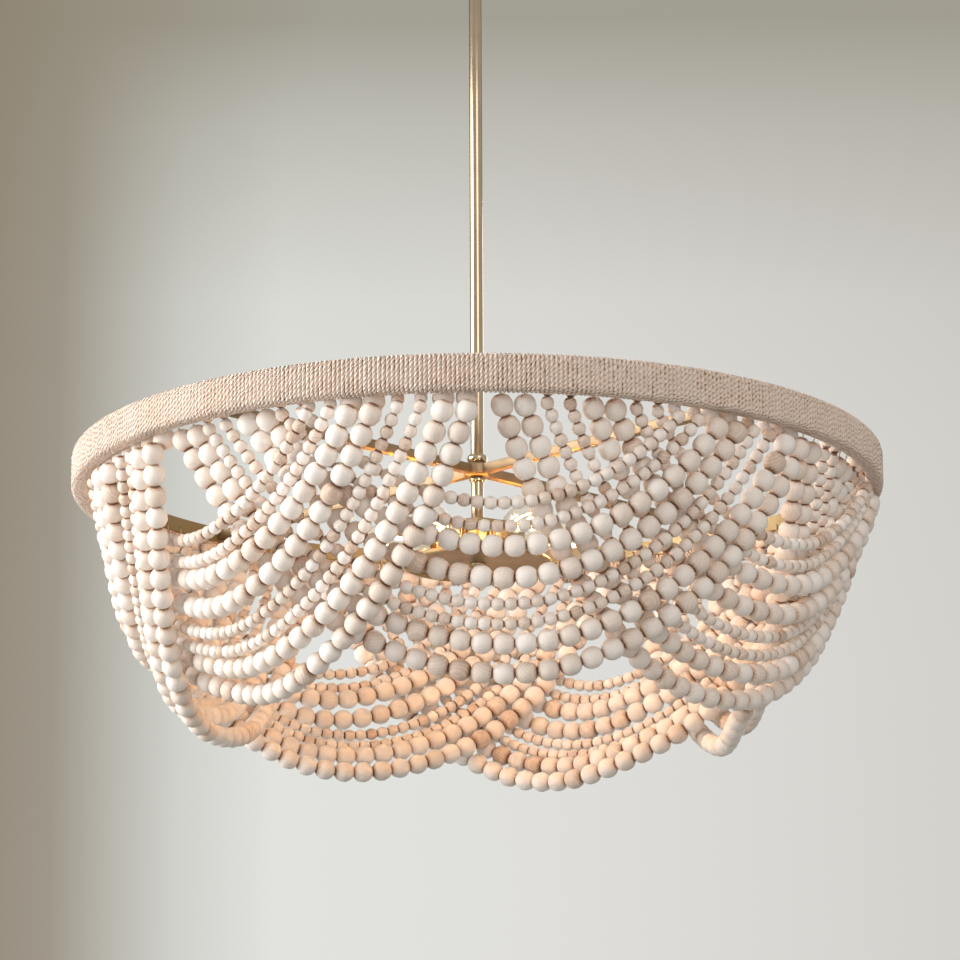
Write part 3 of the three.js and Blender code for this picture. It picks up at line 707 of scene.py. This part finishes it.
def row_points(s, swag, row, steps=240):
    """Points along one row, from its left end to its right end."""
    middle, half_angle = row_ends(s, swag, row)
    inward = row / (s.rows - 1)
    slack = s.outer_slack[swag] * (1 - inward) + s.inner_slack[swag] * inward
    drop = s.bowl_drop * (s.drop_shares[row] + slack)
    half_span = s.seat_radius * sin(half_angle)
    scale = catenary_scale(half_span, drop)
    half_length = scale * sinh(half_span / scale)
    bead = (s.large_diameter if s.large_rows[row] else s.small_diameter) / 2
    points = []
    for i in range(steps + 1):
        part = -half_length + 2 * half_length * i / steps
        across = scale * asinh(part / scale)
        fall = drop - scale * (cosh(across / scale) - 1)
        angle = atan2(across, s.seat_radius * cos(half_angle))
        bowl = s.seat_radius - s.wall_slope * fall
        bowl -= s.tuck * (max(0.0, fall) / s.tuck_depth) ** s.tuck_power
        # A row's left part lies inside the bowl, under its neighbour, and its right part outside.
        t = angle / half_angle
        ease = max(0.0, abs(t) - 1 + s.lap_ease) / s.lap_ease
        lap = sin(min(1.0, abs(t) / s.lap_rise) * pi / 2) * (1 - (1 - s.lap_end) * ease * ease)
        shift = (bead + s.clearance) * (lap if t >= 0 else -lap)
        radius = bowl + shift * cos(s.lap_lean)
        points.append(at(middle + angle, radius, s.seat_height - fall - shift * sin(s.lap_lean)))
    return points


def measured(points):
    """The length along a line at each of its points."""
    lengths = [0.0]
    for a, b in zip(points, points[1:]):
        lengths.append(lengths[-1] + (b - a).length)
    return lengths


def along(points, lengths, wanted):
    """The place and direction at a length along a line."""
    i = min(max(bisect_right(lengths, wanted) - 1, 0), len(points) - 2)
    step = points[i + 1] - points[i]
    return points[i] + step * ((wanted - lengths[i]) / (lengths[i + 1] - lengths[i])), step


def top_beads(s, h, swag, row, end):
    """Centres of the beads above a row's end, inside the hoop. end is -1 left or 1 right."""
    points = row_points(s, swag, row)
    if end > 0:
        points = points[::-1]
    lengths = measured(points)
    large = s.large_rows[row]
    pitch = s.large_pitch if large else s.small_pitch
    pitch = lengths[-1] / max(2, round(lengths[-1] / pitch))
    below, _ = along(points, lengths, pitch / 2)
    radius = (s.large_diameter if large else s.small_diameter) / 2
    inside = h.radius - h.thickness - radius - HOOP_GAP
    ceiling = -h.drop - h.band_inset - h.band_height - BAND_GAP
    angle = atan2(below.x, -below.y)
    centres = []
    while len(centres) < MOST_TOP_BEADS:
        step = below.xy.length - inside
        lift = sqrt(max(0.0, pitch * pitch - step * step))
        height = below.z + max(lift, pitch * 0.6)
        if height + radius > ceiling:
            break
        below = at(angle, inside, height)
        centres.append(below)
    return centres


def bead_template(name, diameter, long, barrel, shares):
    """A turned bead with flattened ends and a dished bore, its axis along Z."""
    radius, half = diameter / 2, long / 2
    side = [
        (radius * (1 - abs(share * half / radius) ** barrel) ** (1 / barrel), share * half)
        for share in shares
    ]
    # Each end is rounded off to a flat ring, and dished from there to the bore.
    end = [(side[-1][0] * 0.62, half), (radius * 0.16, half * 0.95)]
    upper = side + end
    bm = bmesh.new()
    spin(bm, [(r, -z) for r, z in reversed(upper)] + [p for p in upper if p[1] > 0],
         BEAD_FACETS, merge=1e-7)
    outer = max(bm.faces, key=lambda f: f.calc_center_median().xy.length)
    if outer.normal.dot(outer.calc_center_median()) < 0:
        bmesh.ops.reverse_faces(bm, faces=bm.faces[:])
    mesh = to_mesh(bm, name)
    mesh.attributes.new("tone", "FLOAT", "POINT")
    mesh.attributes.new("grain", "FLOAT_VECTOR", "POINT")
    return mesh


def strung_beads(s, h, templates, swag, rows, name):
    """All the beads of some rows of one swag as one mesh."""
    draw = random.Random(s.seed * 100 + swag * 10 + rows[0])
    bm = bmesh.new()
    for row in rows:
        large = s.large_rows[row]
        template, pitch, usual_tone = (
            (templates[0], s.large_pitch, s.large_tone) if large
            else (templates[1], s.small_pitch, s.small_tone)
        )
        base = np.empty(len(template.vertices) * 3)
        template.vertices.foreach_get("co", base)
        base = base.reshape(-1, 3) / MM
        # Darker round the bore: raw wood under a thinner wash, and painted shade where two beads
        # meet.
        ends = np.clip(np.abs(base[:, 2]) * 2 * MM / pitch - 0.8, 0, 1) * s.bore_wash_and_shade
        points = row_points(s, swag, row)
        lengths = measured(points)
        total = max(2, round(lengths[-1] / pitch))
        spacing = lengths[-1] / total
        spots = [along(points, lengths, (i + 0.5) * spacing) for i in range(total)]
        for end, last in ((-1, points[0]), (1, points[-1])):
            for centre in top_beads(s, h, swag, row, end):
                # It hangs nearly upright, leaning a little as the thread to it does.
                spots.append((centre, (centre - last).normalized() + Vector((0, 0, 1.4))))
                last = centre
        for place, direction in spots:
            turned = Vector((0, 0, 1)).rotation_difference(direction).to_matrix().to_4x4()
            lean = Matrix.Rotation(draw.gauss(0, 0.5) * s.tilt, 4, "X")
            roll = Matrix.Rotation(draw.uniform(0, tau), 4, "Z")
            size = 1 + draw.uniform(*SIZE_SPREAD)
            bead = template.copy()
            # The grain lies across some beads and along others, as they were cut from one plank.
            cut = Matrix.Rotation(draw.uniform(0, pi), 3, (draw.random(), draw.random(), 0.2))
            offset = [draw.uniform(-PLANK, PLANK) for _ in range(3)]
            grain = base @ np.array(cut) + np.array(offset)
            bead.attributes["grain"].data.foreach_set("vector", grain.astype(np.float32).ravel())
            tone = min(MOST_TONE, max(LEAST_TONE, draw.gauss(usual_tone, s.tone_spread)))
            bead.attributes["tone"].data.foreach_set("value", (tone - ends).astype(np.float32))
            scale = Matrix.Diagonal((size, size, spacing / pitch, 1))
            bead.transform(Matrix.Translation(place) @ turned @ lean @ roll @ scale)
            bm.from_mesh(bead)
            bpy.data.meshes.remove(bead)
    return to_mesh(bm, name)


def thread_line(s, h, swag, row):
    """The thread of one row: out of a hole in the band, through the beads and back to a hole."""
    points = row_points(s, swag, row, 60)
    middle, half = row_ends(s, swag, row)
    spacing = tau / (s.swags * s.rows * 2)
    band_low = -h.drop - h.band_inset - h.band_height
    hole_height = band_low + h.hole_lift

    def loop(angle, end):
        """The thread above one end of the row, from behind the hole down to the top bead."""
        hole = (round((angle - h.hole_turn) / spacing - 0.5) + 0.5) * spacing + h.hole_turn
        line = [
            at(hole, h.band_radius + 0.8 * MM, hole_height),
            at(hole, h.band_radius - 0.6 * MM, hole_height - 0.3 * MM),
            at(hole * 0.9 + angle * 0.1, h.band_radius - 0.9 * MM, band_low),
        ]
        return line + top_beads(s, h, swag, row, end)[::-1]

    return loop(middle - half, -1) + points[1:-1] + loop(middle + half, 1)[::-1]


# ---------------------------------------------------------------- operators


class CHANDELIER_OT_camera(bpy.types.Operator):
    """Places the camera where the photograph was taken"""

    bl_idname = "chandelier.camera"
    bl_label = "Camera"
    bl_options = {"REGISTER", "UNDO"}

    def execute(self, context):
        scene = context.scene
        c = scene.chandelier_camera
        data = bpy.data.cameras.new("camera")
        data.lens = c.lens
        data.sensor_width = c.sensor
        data.sensor_fit = "HORIZONTAL"
        data.clip_end = c.reach
        camera = bpy.data.objects.new("camera", data)
        scene.collection.objects.link(camera)
        ahead = Vector((sin(c.yaw) * cos(c.pitch), cos(c.yaw) * cos(c.pitch), sin(c.pitch)))
        right = Vector((cos(c.yaw), -sin(c.yaw), 0))
        up = right.cross(ahead)
        leaned_right = right * cos(c.roll) + up * sin(c.roll)
        leaned_up = up * cos(c.roll) - right * sin(c.roll)
        turned = Matrix((leaned_right, leaned_up, -ahead)).transposed().to_4x4()
        camera.matrix_world = Matrix.Translation((0, -c.distance, c.height)) @ turned
        scene.camera = camera
        return {"FINISHED"}


class CHANDELIER_OT_beads(bpy.types.Operator):
    """Strings the wooden beads of every swag"""

    bl_idname = "chandelier.beads"
    bl_label = "Beads"
    bl_options = {"REGISTER", "UNDO"}

    def execute(self, context):
        s, h = context.scene.chandelier_beads, context.scene.chandelier_hoop
        # Places along a bead's half length at which its outline is cut into facets.
        templates = (
            bead_template("large_bead", s.large_diameter, s.large_pitch - 0.3 * MM, s.barrel,
                          (-0.26, 0.26, 0.64, 0.88)),
            bead_template("small_bead", s.small_diameter, s.small_pitch - 0.25 * MM, s.barrel,
                          (-0.3, 0.3, 0.8)),
        )
        halves = {"outer": range(s.outer_rows), "inner": range(s.outer_rows, s.rows)}
        for swag in range(s.swags):
            for half, rows in halves.items():
                name = f"swag_{swag + 1}_{half}_beads"
                mesh = strung_beads(s, h, templates, swag, rows, name)
                node = f"swag_{swag + 1}_{half}_rows"
                finish_piece(mesh, name, "bead", nodes=(node,), smooth=60)
        for template in templates:
            bpy.data.meshes.remove(template)
        return {"FINISHED"}


class CHANDELIER_OT_threads(bpy.types.Operator):
    """Runs the threads through the beads and over the band's lower edge"""

    bl_idname = "chandelier.threads"
    bl_label = "Threads"
    bl_options = {"REGISTER", "UNDO"}

    def execute(self, context):
        s, h = context.scene.chandelier_beads, context.scene.chandelier_hoop
        for swag in range(s.swags):
            name = f"swag_{swag + 1}_threads"
            lines = [thread_line(s, h, swag, row) for row in range(s.rows)]
            finish_piece(tubes(name, lines, s.thread_radius), name, "thread", smooth=80)
        return {"FINISHED"}


class CHANDELIER_OT_winding(bpy.types.Operator):
    """Winds the cord round the hoop"""

    bl_idname = "chandelier.winding"
    bl_label = "Cord winding"
    bl_options = {"REGISTER", "UNDO"}

    def execute(self, context):
        h = context.scene.chandelier_hoop
        # The middles of the corners: radii and heights of the outer, inner, upper and lower ones.
        inner, outer = h.radius - h.thickness + h.corner, h.radius - h.corner
        top, bottom = -h.drop, -h.drop - h.height
        upper, lower = top - h.corner, bottom + h.corner
        profile = []
        for r, z, start in (
            (outer, upper, 0), (inner, upper, 90), (inner, lower, 180), (outer, lower, 270),
        ):
            for i in range(h.corner_steps + 1):
                a = radians(start + 90 * i / h.corner_steps)
                profile.append((r + h.corner * cos(a), z + h.corner * sin(a)))
        bm = bmesh.new()
        spin(bm, profile, h.turns * h.turn_steps, closed=True)
        # Between two turns the surface sinks, so that each turn of cord stands out round.
        middle = h.radius - h.thickness / 2
        for vert in bm.verts:
            x, y, z = vert.co
            radius = sqrt(x * x + y * y)
            turned = (atan2(y, x) / tau * h.turns) % 1.0
            depth = h.groove * (1 - sqrt(max(0.0, 1 - (2 * turned - 1) ** 2)))
            out = Vector((radius - min(max(radius, inner), outer), z - min(max(z, lower), upper)))
            if out.length < 1e-6:
                out = Vector((1.0 if radius > middle else -1.0, 0.0))
            out.normalize()
            moved = radius - depth * out.x
            vert.co = (x * moved / radius, y * moved / radius, z - depth * out.y)
        finish_piece(to_mesh(bm, "cord_winding"), "cord_winding", "winding",
                     nodes=("cord_wrap",), smooth=120)
        keep_node("hoop_core", "hoop_wood")
        return {"FINISHED"}


class CHANDELIER_OT_band(bpy.types.Operator):
    """Makes the drilled band that the threads come out of"""

    bl_idname = "chandelier.band"
    bl_label = "Drilled band"
    bl_options = {"REGISTER", "UNDO"}

    def execute(self, context):
        h, s = context.scene.chandelier_hoop, context.scene.chandelier_beads
        holes = s.swags * s.rows * 2
        width = tau * h.band_radius / holes
        low = -h.drop - h.band_inset - h.band_height
        # The band is made flat, X round the hoop and Y up, one cell of 4 by 4 faces for each hole.
        bm = bmesh.new()
        for hole in range(holes):
            x, y = (hole + 0.5) * width, low + h.band_height / 2
            made = bmesh.ops.create_grid(
                bm, x_segments=4, y_segments=4, size=0.5,
                matrix=Matrix.Translation((x, y, 0))
                @ Matrix.Diagonal((width, h.band_height, 1, 1)),
            )["verts"]
            middle = min(made, key=lambda v: (v.co.xy - Vector((x, y))).length)
            ring = {v for f in middle.link_faces for v in f.verts} - {middle}
            if len(made) != 25 or len(ring) != 8:
                raise RuntimeError("the band's cell isn't a grid of four by four")
            for vert in ring:
                way = Vector(((vert.co.x - x) / width, (vert.co.y - y) / h.band_height))
                way.normalize()
                vert.co.x = x + way.x * h.hole_radius
                vert.co.y = low + h.hole_lift + way.y * h.hole_radius
            bmesh.ops.delete(bm, geom=[middle], context="VERTS")
        for vert in bm.verts:
            vert.co = at(vert.co.x / h.band_radius + h.hole_turn, h.band_radius, vert.co.y)
        bmesh.ops.remove_doubles(bm, verts=bm.verts[:], dist=1e-5)
        bmesh.ops.recalc_face_normals(bm, faces=bm.faces[:])
        face = next(iter(bm.faces))
        if face.normal.xy.dot(face.calc_center_median().xy) > 0:
            bmesh.ops.reverse_faces(bm, faces=bm.faces[:])
        bmesh.ops.solidify(bm, geom=bm.faces[:], thickness=h.band_thickness)
        bmesh.ops.recalc_face_normals(bm, faces=bm.faces[:])
        mesh = to_mesh(bm, "drilled_band")
        finish_piece(mesh, "drilled_band", "band_brass", nodes=("inner_band",))
        return {"FINISHED"}


def rounded(radius, low, high, steps, bulge):
    """Profile of a turned collar with a round edge, from its axis at the bottom to the top."""
    half = (high - low) / 2
    middle = (high + low) / 2
    line = [(0.0, low)]
    for i in range(steps + 1):
        a = -pi / 2 + pi * i / steps
        line.append((radius - half * bulge * (1 - cos(a)), middle + half * sin(a)))
    return line + [(0.0, high)]


class CHANDELIER_OT_stem(bpy.types.Operator):
    """Turns the stem, the collars and the hub"""

    bl_idname = "chandelier.stem"
    bl_label = "Stem and hub"
    bl_options = {"REGISTER", "UNDO"}

    def execute(self, context):
        f = context.scene.chandelier_fittings
        for node, radius, ease in (
            ("stem", f.stem_radius, 0.4 * MM), ("lower_stem", f.lower_stem_radius, 0.3 * MM),
        ):
            low, high = span(node)
            profile = [(0, low.z), (radius, low.z), (radius, high.z), (0, high.z)]
            turned_piece(f"{node}_rod", profile, "stem_brass", "brass", (node,), ease=ease)
        # The hub steps in at both ends.
        low, high = span("hub")
        r = high.x
        profile = [
            (0, low.z), (r * 0.8, low.z), (r * 0.86, low.z + 1.2 * MM), (r, low.z + 2.0 * MM),
            (r, high.z - 2.0 * MM), (r * 0.86, high.z - 1.2 * MM), (r * 0.8, high.z), (0, high.z),
        ]
        turned_piece("turned_hub", profile, "bar_brass", "brass", ("hub",), ease=0.35 * MM)
        for node, steps, bulge in (("ball_collar", 9, 0.95), ("washer_collar", 7, 0.8)):
            low, high = span(node)
            turned_piece(f"turned_{node}", rounded(high.x, low.z, high.z, steps, bulge),
                         "polished_brass", "brass", (node,))
        return {"FINISHED"}


class CHANDELIER_OT_arms(bpy.types.Operator):
    """Eases the four square arms and their screws"""

    bl_idname = "chandelier.arms"
    bl_label = "Arms"
    bl_options = {"REGISTER", "UNDO"}

    def execute(self, context):
        for corner in ("back_right", "back_left", "front_left", "front_right"):
            eased_copy(f"arm_{corner}", f"square_arm_{corner}", "bar_brass")
            eased_copy(f"arm_screw_{corner}", f"eased_arm_screw_{corner}", "steel",
                       ease=0.3 * MM, sharper_than=50)
        return {"FINISHED"}


# The finial's outline from its tip up, in shares of its radius and its height.
FINIAL = (
    (0, 0), (0.3, 0.015), (0.62, 0.1), (0.78, 0.22), (0.76, 0.36), (0.56, 0.47),
    (0.4, 0.53), (0.42, 0.6), (0.62, 0.7), (0.92, 0.84), (1.0, 0.92), (1.0, 1.0), (0, 1.0),
)


class CHANDELIER_OT_cluster(bpy.types.Operator):
    """Makes the lamp cluster's box, cover and finial"""

    bl_idname = "chandelier.cluster"
    bl_label = "Lamp cluster"
    bl_options = {"REGISTER", "UNDO"}

    def execute(self, context):
        eased_copy("cluster_box", "eased_cluster_box", "socket_brass",
                   ease=0.6 * MM)
        # The cover is a shallow pan, open downwards, with a rolled edge.
        low, high = span("cluster_cover")
        r, under = high.x, high.z - 2 * MM
        profile = [
            (0, high.z), (r - 3 * MM, high.z), (r - 0.8 * MM, high.z - 0.9 * MM),
            (r, high.z - 2.2 * MM), (r, low.z), (r - 1.6 * MM, low.z),
            (r - 2.2 * MM, under), (0, under),
        ]
        turned_piece("spun_cover", profile, "socket_brass", "socket_brass", ("cluster_cover",),
                     facets=96, ease=0.25 * MM)
        low, high = span("finial")
        profile = [(high.x * a, low.z + (high.z - low.z) * b) for a, b in FINIAL]
        turned_piece("turned_finial", profile, "polished_brass", "socket_brass", ("finial",))
        return {"FINISHED"}


# The outlines of a lamp's parts: radius and place along the lamp's axis from the stem's middle,
# in millimetres. The holder's mouth is at the far end, with a flange behind it.
HOLDER = (
    (7.4, 16.0), (9.0, 16.0), (9.0, 38.3), (10.2, 38.3), (11.0, 38.9), (11.0, 40.7),
    (10.3, 41.3), (9.0, 41.3), (9.0, 43.9), (8.7, 44.3), (7.6, 44.3),
)
# A screw base with five rolled threads, beginning in a contact.
BASE_THREADS = tuple(
    spot for thread in range(5)
    for spot in ((6.55, 28.0 + thread * 2.6), (6.0, 29.3 + thread * 2.6))
)
BASE = (
    (0, 24.4), (2.4, 24.4), (2.6, 25.6), (5.4, 26.8), *BASE_THREADS,
    (6.5, 41.4), (6.5, 44.5), (0, 44.5),
)
# The glass stalk that carries the filament.
STALK = (
    (0, 44.6), (5.6, 44.6), (4.6, 47.0), (2.6, 51.0), (2.0, 57.0), (2.9, 59.0), (0, 60.0),
)
# The bulb's outline, in shares of its radius and its length.
GLASS = (
    (0.375, 0.0), (0.39, 0.05), (0.46, 0.14), (0.6, 0.26), (0.78, 0.39), (0.93, 0.53),
    (0.995, 0.64), (1.0, 0.7), (0.96, 0.79), (0.85, 0.87), (0.66, 0.94), (0.38, 0.985), (0, 1.0),
)


class CHANDELIER_OT_lamps(bpy.types.Operator):
    """Makes the lamps: holder, screw base, glass, filament and stalk"""

    bl_idname = "chandelier.lamps"
    bl_label = "Lamps"
    bl_options = {"REGISTER", "UNDO"}

    def execute(self, context):
        f = context.scene.chandelier_fittings
        for lamp in range(f.lamps):
            lying = (
                Matrix.Translation((0, 0, f.lamp_height))
                @ Matrix.Rotation(tau * lamp / f.lamps, 4, "Z") @ Matrix.Rotation(pi / 2, 4, "Y")
            )
            self.lamp(f, lamp + 1, lying)
        return {"FINISHED"}

    def lamp(self, f, number, lying):
        """One lamp, turned about the Z axis and laid along its own radius."""

        def part(name, outline, *finish, **options):
            profile = [(r * MM, z * MM) for r, z in outline]
            turned_piece(name, profile, *finish, matrix=lying, **options)

        part(f"pressed_socket_{number}", HOLDER, "socket_brass", "socket_brass",
             (f"socket_{number}",), closed=True, ease=0.15 * MM)
        part(f"bulb_{number}_base", BASE, "steel", "bulb_glass", smooth=50, facets=24)
        outline = [(f.bulb_radius * a, f.glass_start + f.glass_length * b) for a, b in GLASS]
        turned_piece(f"bulb_{number}_glass", outline, "glass", "bulb_glass", (f"bulb_{number}",),
                     smooth=80, facets=32, matrix=lying)
        # Four filaments, leaning out from the stalk's tip towards the bulb's far end.
        near, far = f.glass_start + 14 * MM, f.glass_start + 46 * MM
        wires = []
        for k in range(4):
            a = tau * (k + 0.5) / 4
            wires.append([
                lying @ Vector((radius * cos(a), radius * sin(a), place))
                for radius, place in ((3 * MM, near), (6.5 * MM, far))
            ])
        name = f"bulb_{number}_filament"
        finish_piece(tubes(name, wires, 0.35 * MM, 2), name, "glow", smooth=80)
        part(f"bulb_{number}_stalk", STALK, "glass", "bulb_glass", smooth=80, facets=16)


# Pieces above the photograph's edge: node, name, material, body, easing in mm, edges eased.
CEILING_PIECES = (
    ("canopy", "spun_canopy", "stem_brass", "ceiling", 0.35, 40),
    ("crossbar", "pressed_crossbar", "steel", "ceiling", 0.4, 40),
    ("canopy_screw_left", "eased_canopy_screw_left", "polished_brass", "ceiling", 0.25, 50),
    ("canopy_screw_right", "eased_canopy_screw_right", "polished_brass", "ceiling", 0.25, 50),
    ("swivel_neck", "turned_swivel_neck", "stem_brass", "swivel", 0.4, 40),
    ("neck_locknut", "hexagon_locknut", "steel", "swivel", 0.35, 40),
    ("tilt_pin", "turned_tilt_pin", "polished_brass", "swivel", 0.3, 50),
    ("swivel_knuckle", "turned_swivel_knuckle", "stem_brass", "pendant", 0.4, 40),
)


class CHANDELIER_OT_ceiling(bpy.types.Operator):
    """Makes the parts at the ceiling, above the photograph's edge"""

    bl_idname = "chandelier.ceiling"
    bl_label = "Ceiling parts"
    bl_options = {"REGISTER", "UNDO"}

    def execute(self, context):
        for node, name, material, body, ease, sharper_than in CEILING_PIECES:
            eased_copy(node, name, material, body, ease * MM, sharper_than)
        return {"FINISHED"}


class CHANDELIER_OT_stage(bpy.types.Operator):
    """Sets the plain wall, the floor and the lights"""

    bl_idname = "chandelier.stage"
    bl_label = "Stage"
    bl_options = {"REGISTER", "UNDO"}

    def execute(self, context):
        scene = context.scene
        t = scene.chandelier_stage
        scene.view_settings.view_transform = "Standard"
        down = Matrix.Translation((0, 0, t.floor_height))
        back = Matrix.Translation((0, t.wall_distance, t.wall_height))
        upright = back @ Matrix.Rotation(pi / 2, 4, "X")
        self.sheet(scene, "floor", down, self.floor_paint(t))
        self.sheet(scene, "wall", upright, self.wall_paint(t, scene.chandelier_camera))
        self.room(scene, t)
        # Each lamp's place in metres, width and height in metres, power and colour.
        for name, place, size, power, colour in (
            ("left_window", (-2.95, -0.55, -0.1), (2.9, 2.9), t.left_power, t.window_colour),
            ("right_window", (1.35, -3.0, 0.5), (1.5, 2.4), t.right_power, t.right_colour),
            ("low_fill", (0.2, -4.3, -2.0), (2.4, 1.2), t.low_power, t.low_colour),
            ("back_fill", (1.3, 3.9, -0.1), (2.6, 2.2), t.back_power, t.window_colour),
        ):
            data = bpy.data.lights.new(name, "AREA")
            data.shape = "RECTANGLE"
            data.size, data.size_y = size
            data.energy = power
            data.color = colour[:3]
            obj = bpy.data.objects.new(name, data)
            scene.collection.objects.link(obj)
            obj.location = place
            aim = Vector((0, 0, t.aim_height)) - Vector(place)
            obj.rotation_euler = aim.to_track_quat("-Z", "Y").to_euler()
        return {"FINISHED"}

    def sheet(self, scene, name, matrix, material):
        """A large flat sheet, turned and moved by matrix."""
        bm = bmesh.new()
        bmesh.ops.create_grid(
            bm, x_segments=1, y_segments=1, size=scene.chandelier_stage.sheet_reach)
        mesh = to_mesh(bm, name)
        mesh.transform(matrix)
        mesh.materials.append(material)
        obj = bpy.data.objects.new(name, mesh)
        scene.collection.objects.link(obj)
        return obj

    def room(self, scene, t):
        """The light from all round, and the plain colour that is seen past the wall."""
        world = bpy.data.worlds.new("room")
        scene.world = world
        world.use_nodes = True
        tree = world.node_tree
        tree.nodes.clear()
        path = seen_directly(tree, -800, 200)
        lit = add(tree, "Background", 0, 0, {"Color": t.ambient_colour, "Strength": t.ambient})
        seen = add(tree, "Background", 0, -200, {"Color": t.background})
        mixed = add(tree, "MixShader", 300, 0, {0: path, 1: lit, 2: seen})
        add(tree, "OutputWorld", 500, 0, {"Surface": mixed})

    def floor_paint(self, t):
        """Matt emulsion on a plain pale floor, with marks of a third of a metre."""
        material, tree = new_material("matt_floor")
        self.seen_as(tree, speckled(tree, 0, (3, 3, 3), 2.0, t.floor_dark, t.floor_light))
        return material

    def seen_as(self, tree, colour):
        """Ends a tree so that the eye and gloss see the plain colour, and the rest a dull coat."""
        path = seen_directly(tree, -200, 300)
        dull = add(tree, "BsdfDiffuse", 0, 0, {"Color": colour})
        seen = add(tree, "Emission", 0, -200, {"Color": colour})
        mixed = add(tree, "MixShader", 400, 0, {0: path, 1: dull, 2: seen})
        add(tree, "OutputMaterial", 900, 0, {"Surface": mixed})

    def wall_paint(self, t, c):
        """Matt wall: brown grey at its left edge, pale in the middle, with painted shade under the
        ceiling.
        """
        # How far the camera sees to each side of its own line, and upwards, on the wall.
        away = c.distance + t.wall_distance
        side, low, high = SIDE_VIEW * away, c.height + LOW_VIEW * away, c.height + HIGH_VIEW * away
        material, tree = new_material("matt_wall")
        where = add(tree, "TexCoord", -1400, 0).outputs["Object"]
        axes = add(tree, "SeparateXYZ", -1200, 0, {"Vector": where}).outputs
        across = add(tree, "MapRange", -900, 200, {
            "Value": axes["X"], "From Min": -side, "From Max": side})
        upward = add(tree, "MapRange", -900, -200, {
            "Value": axes["Z"], "From Min": low, "From Max": high})
        lower = add(tree, "ValToRGB", -600, 200, {"Fac": across}, [
            (0.0, t.wall_edge), (0.075, t.wall_left), (0.2, t.wall_turn), (0.3, t.wall_pale),
            (0.55, t.wall_middle), (1.0, t.wall_right),
        ])
        ceiling_shade_colour = add(tree, "ValToRGB", -600, 0, {"Fac": across}, [
            (0.0, t.ceiling_shade_left), (0.35, t.ceiling_shade_middle), (1.0, t.ceiling_shade_right),
        ])
        # How much of the painted shade under the ceiling is seen at each height.
        share = add(tree, "ValToRGB", -600, -200, {"Fac": upward}, [
            (place, linear(grey)) for place, grey in (
                (0.0, "000000"), (0.32, "393939"), (0.54, "6c6c6c"), (0.8, "cccccc"),
                (0.96, "ffffff"),
            )
        ])
        colour = add(tree, "Mix", -300, 0, {
            0: share, 6: lower, 7: ceiling_shade_colour}, data_type="RGBA").outputs[2]
        self.seen_as(tree, colour)
        return material


OPERATORS = (
    CHANDELIER_OT_camera,
    CHANDELIER_OT_beads,
    CHANDELIER_OT_threads,
    CHANDELIER_OT_winding,
    CHANDELIER_OT_band,
    CHANDELIER_OT_stem,
    CHANDELIER_OT_arms,
    CHANDELIER_OT_cluster,
    CHANDELIER_OT_lamps,
    CHANDELIER_OT_ceiling,
    CHANDELIER_OT_stage,
)


class CHANDELIER_PT_panel(bpy.types.Panel):
    """Buttons and settings for the chandelier"""

    bl_idname = "CHANDELIER_PT_panel"
    bl_label = "Beaded chandelier"
    bl_space_type = "VIEW_3D"
    bl_region_type = "UI"
    bl_category = "Chandelier"

    def draw(self, context):
        for operator in OPERATORS:
            self.layout.operator(operator.bl_idname)
        for name, group in GROUPS.items():
            box = self.layout.box()
            box.label(text=group.__doc__)
            for setting in group.__annotations__:
                box.prop(getattr(context.scene, name), setting)


CLASSES = (*GROUPS.values(), *OPERATORS, CHANDELIER_PT_panel)


def register():
    """Registers the classes and hangs the settings on the scene."""
    for item in CLASSES:
        bpy.utils.register_class(item)
    for name, group in GROUPS.items():
        setattr(bpy.types.Scene, name, PointerProperty(type=group))


def unregister():
    """Takes everything off again."""
    for name in GROUPS:
        delattr(bpy.types.Scene, name)
    for item in reversed(CLASSES):
        bpy.utils.unregister_class(item)


def main():
    """Builds every piece in order."""
    register()
    for operator in OPERATORS:
        family, name = operator.bl_idname.split(".")
        if getattr(getattr(bpy.ops, family), name)() != {"FINISHED"}:
            raise RuntimeError(f"{operator.bl_idname} didn't finish")


if __name__ == "__main__":
    main()
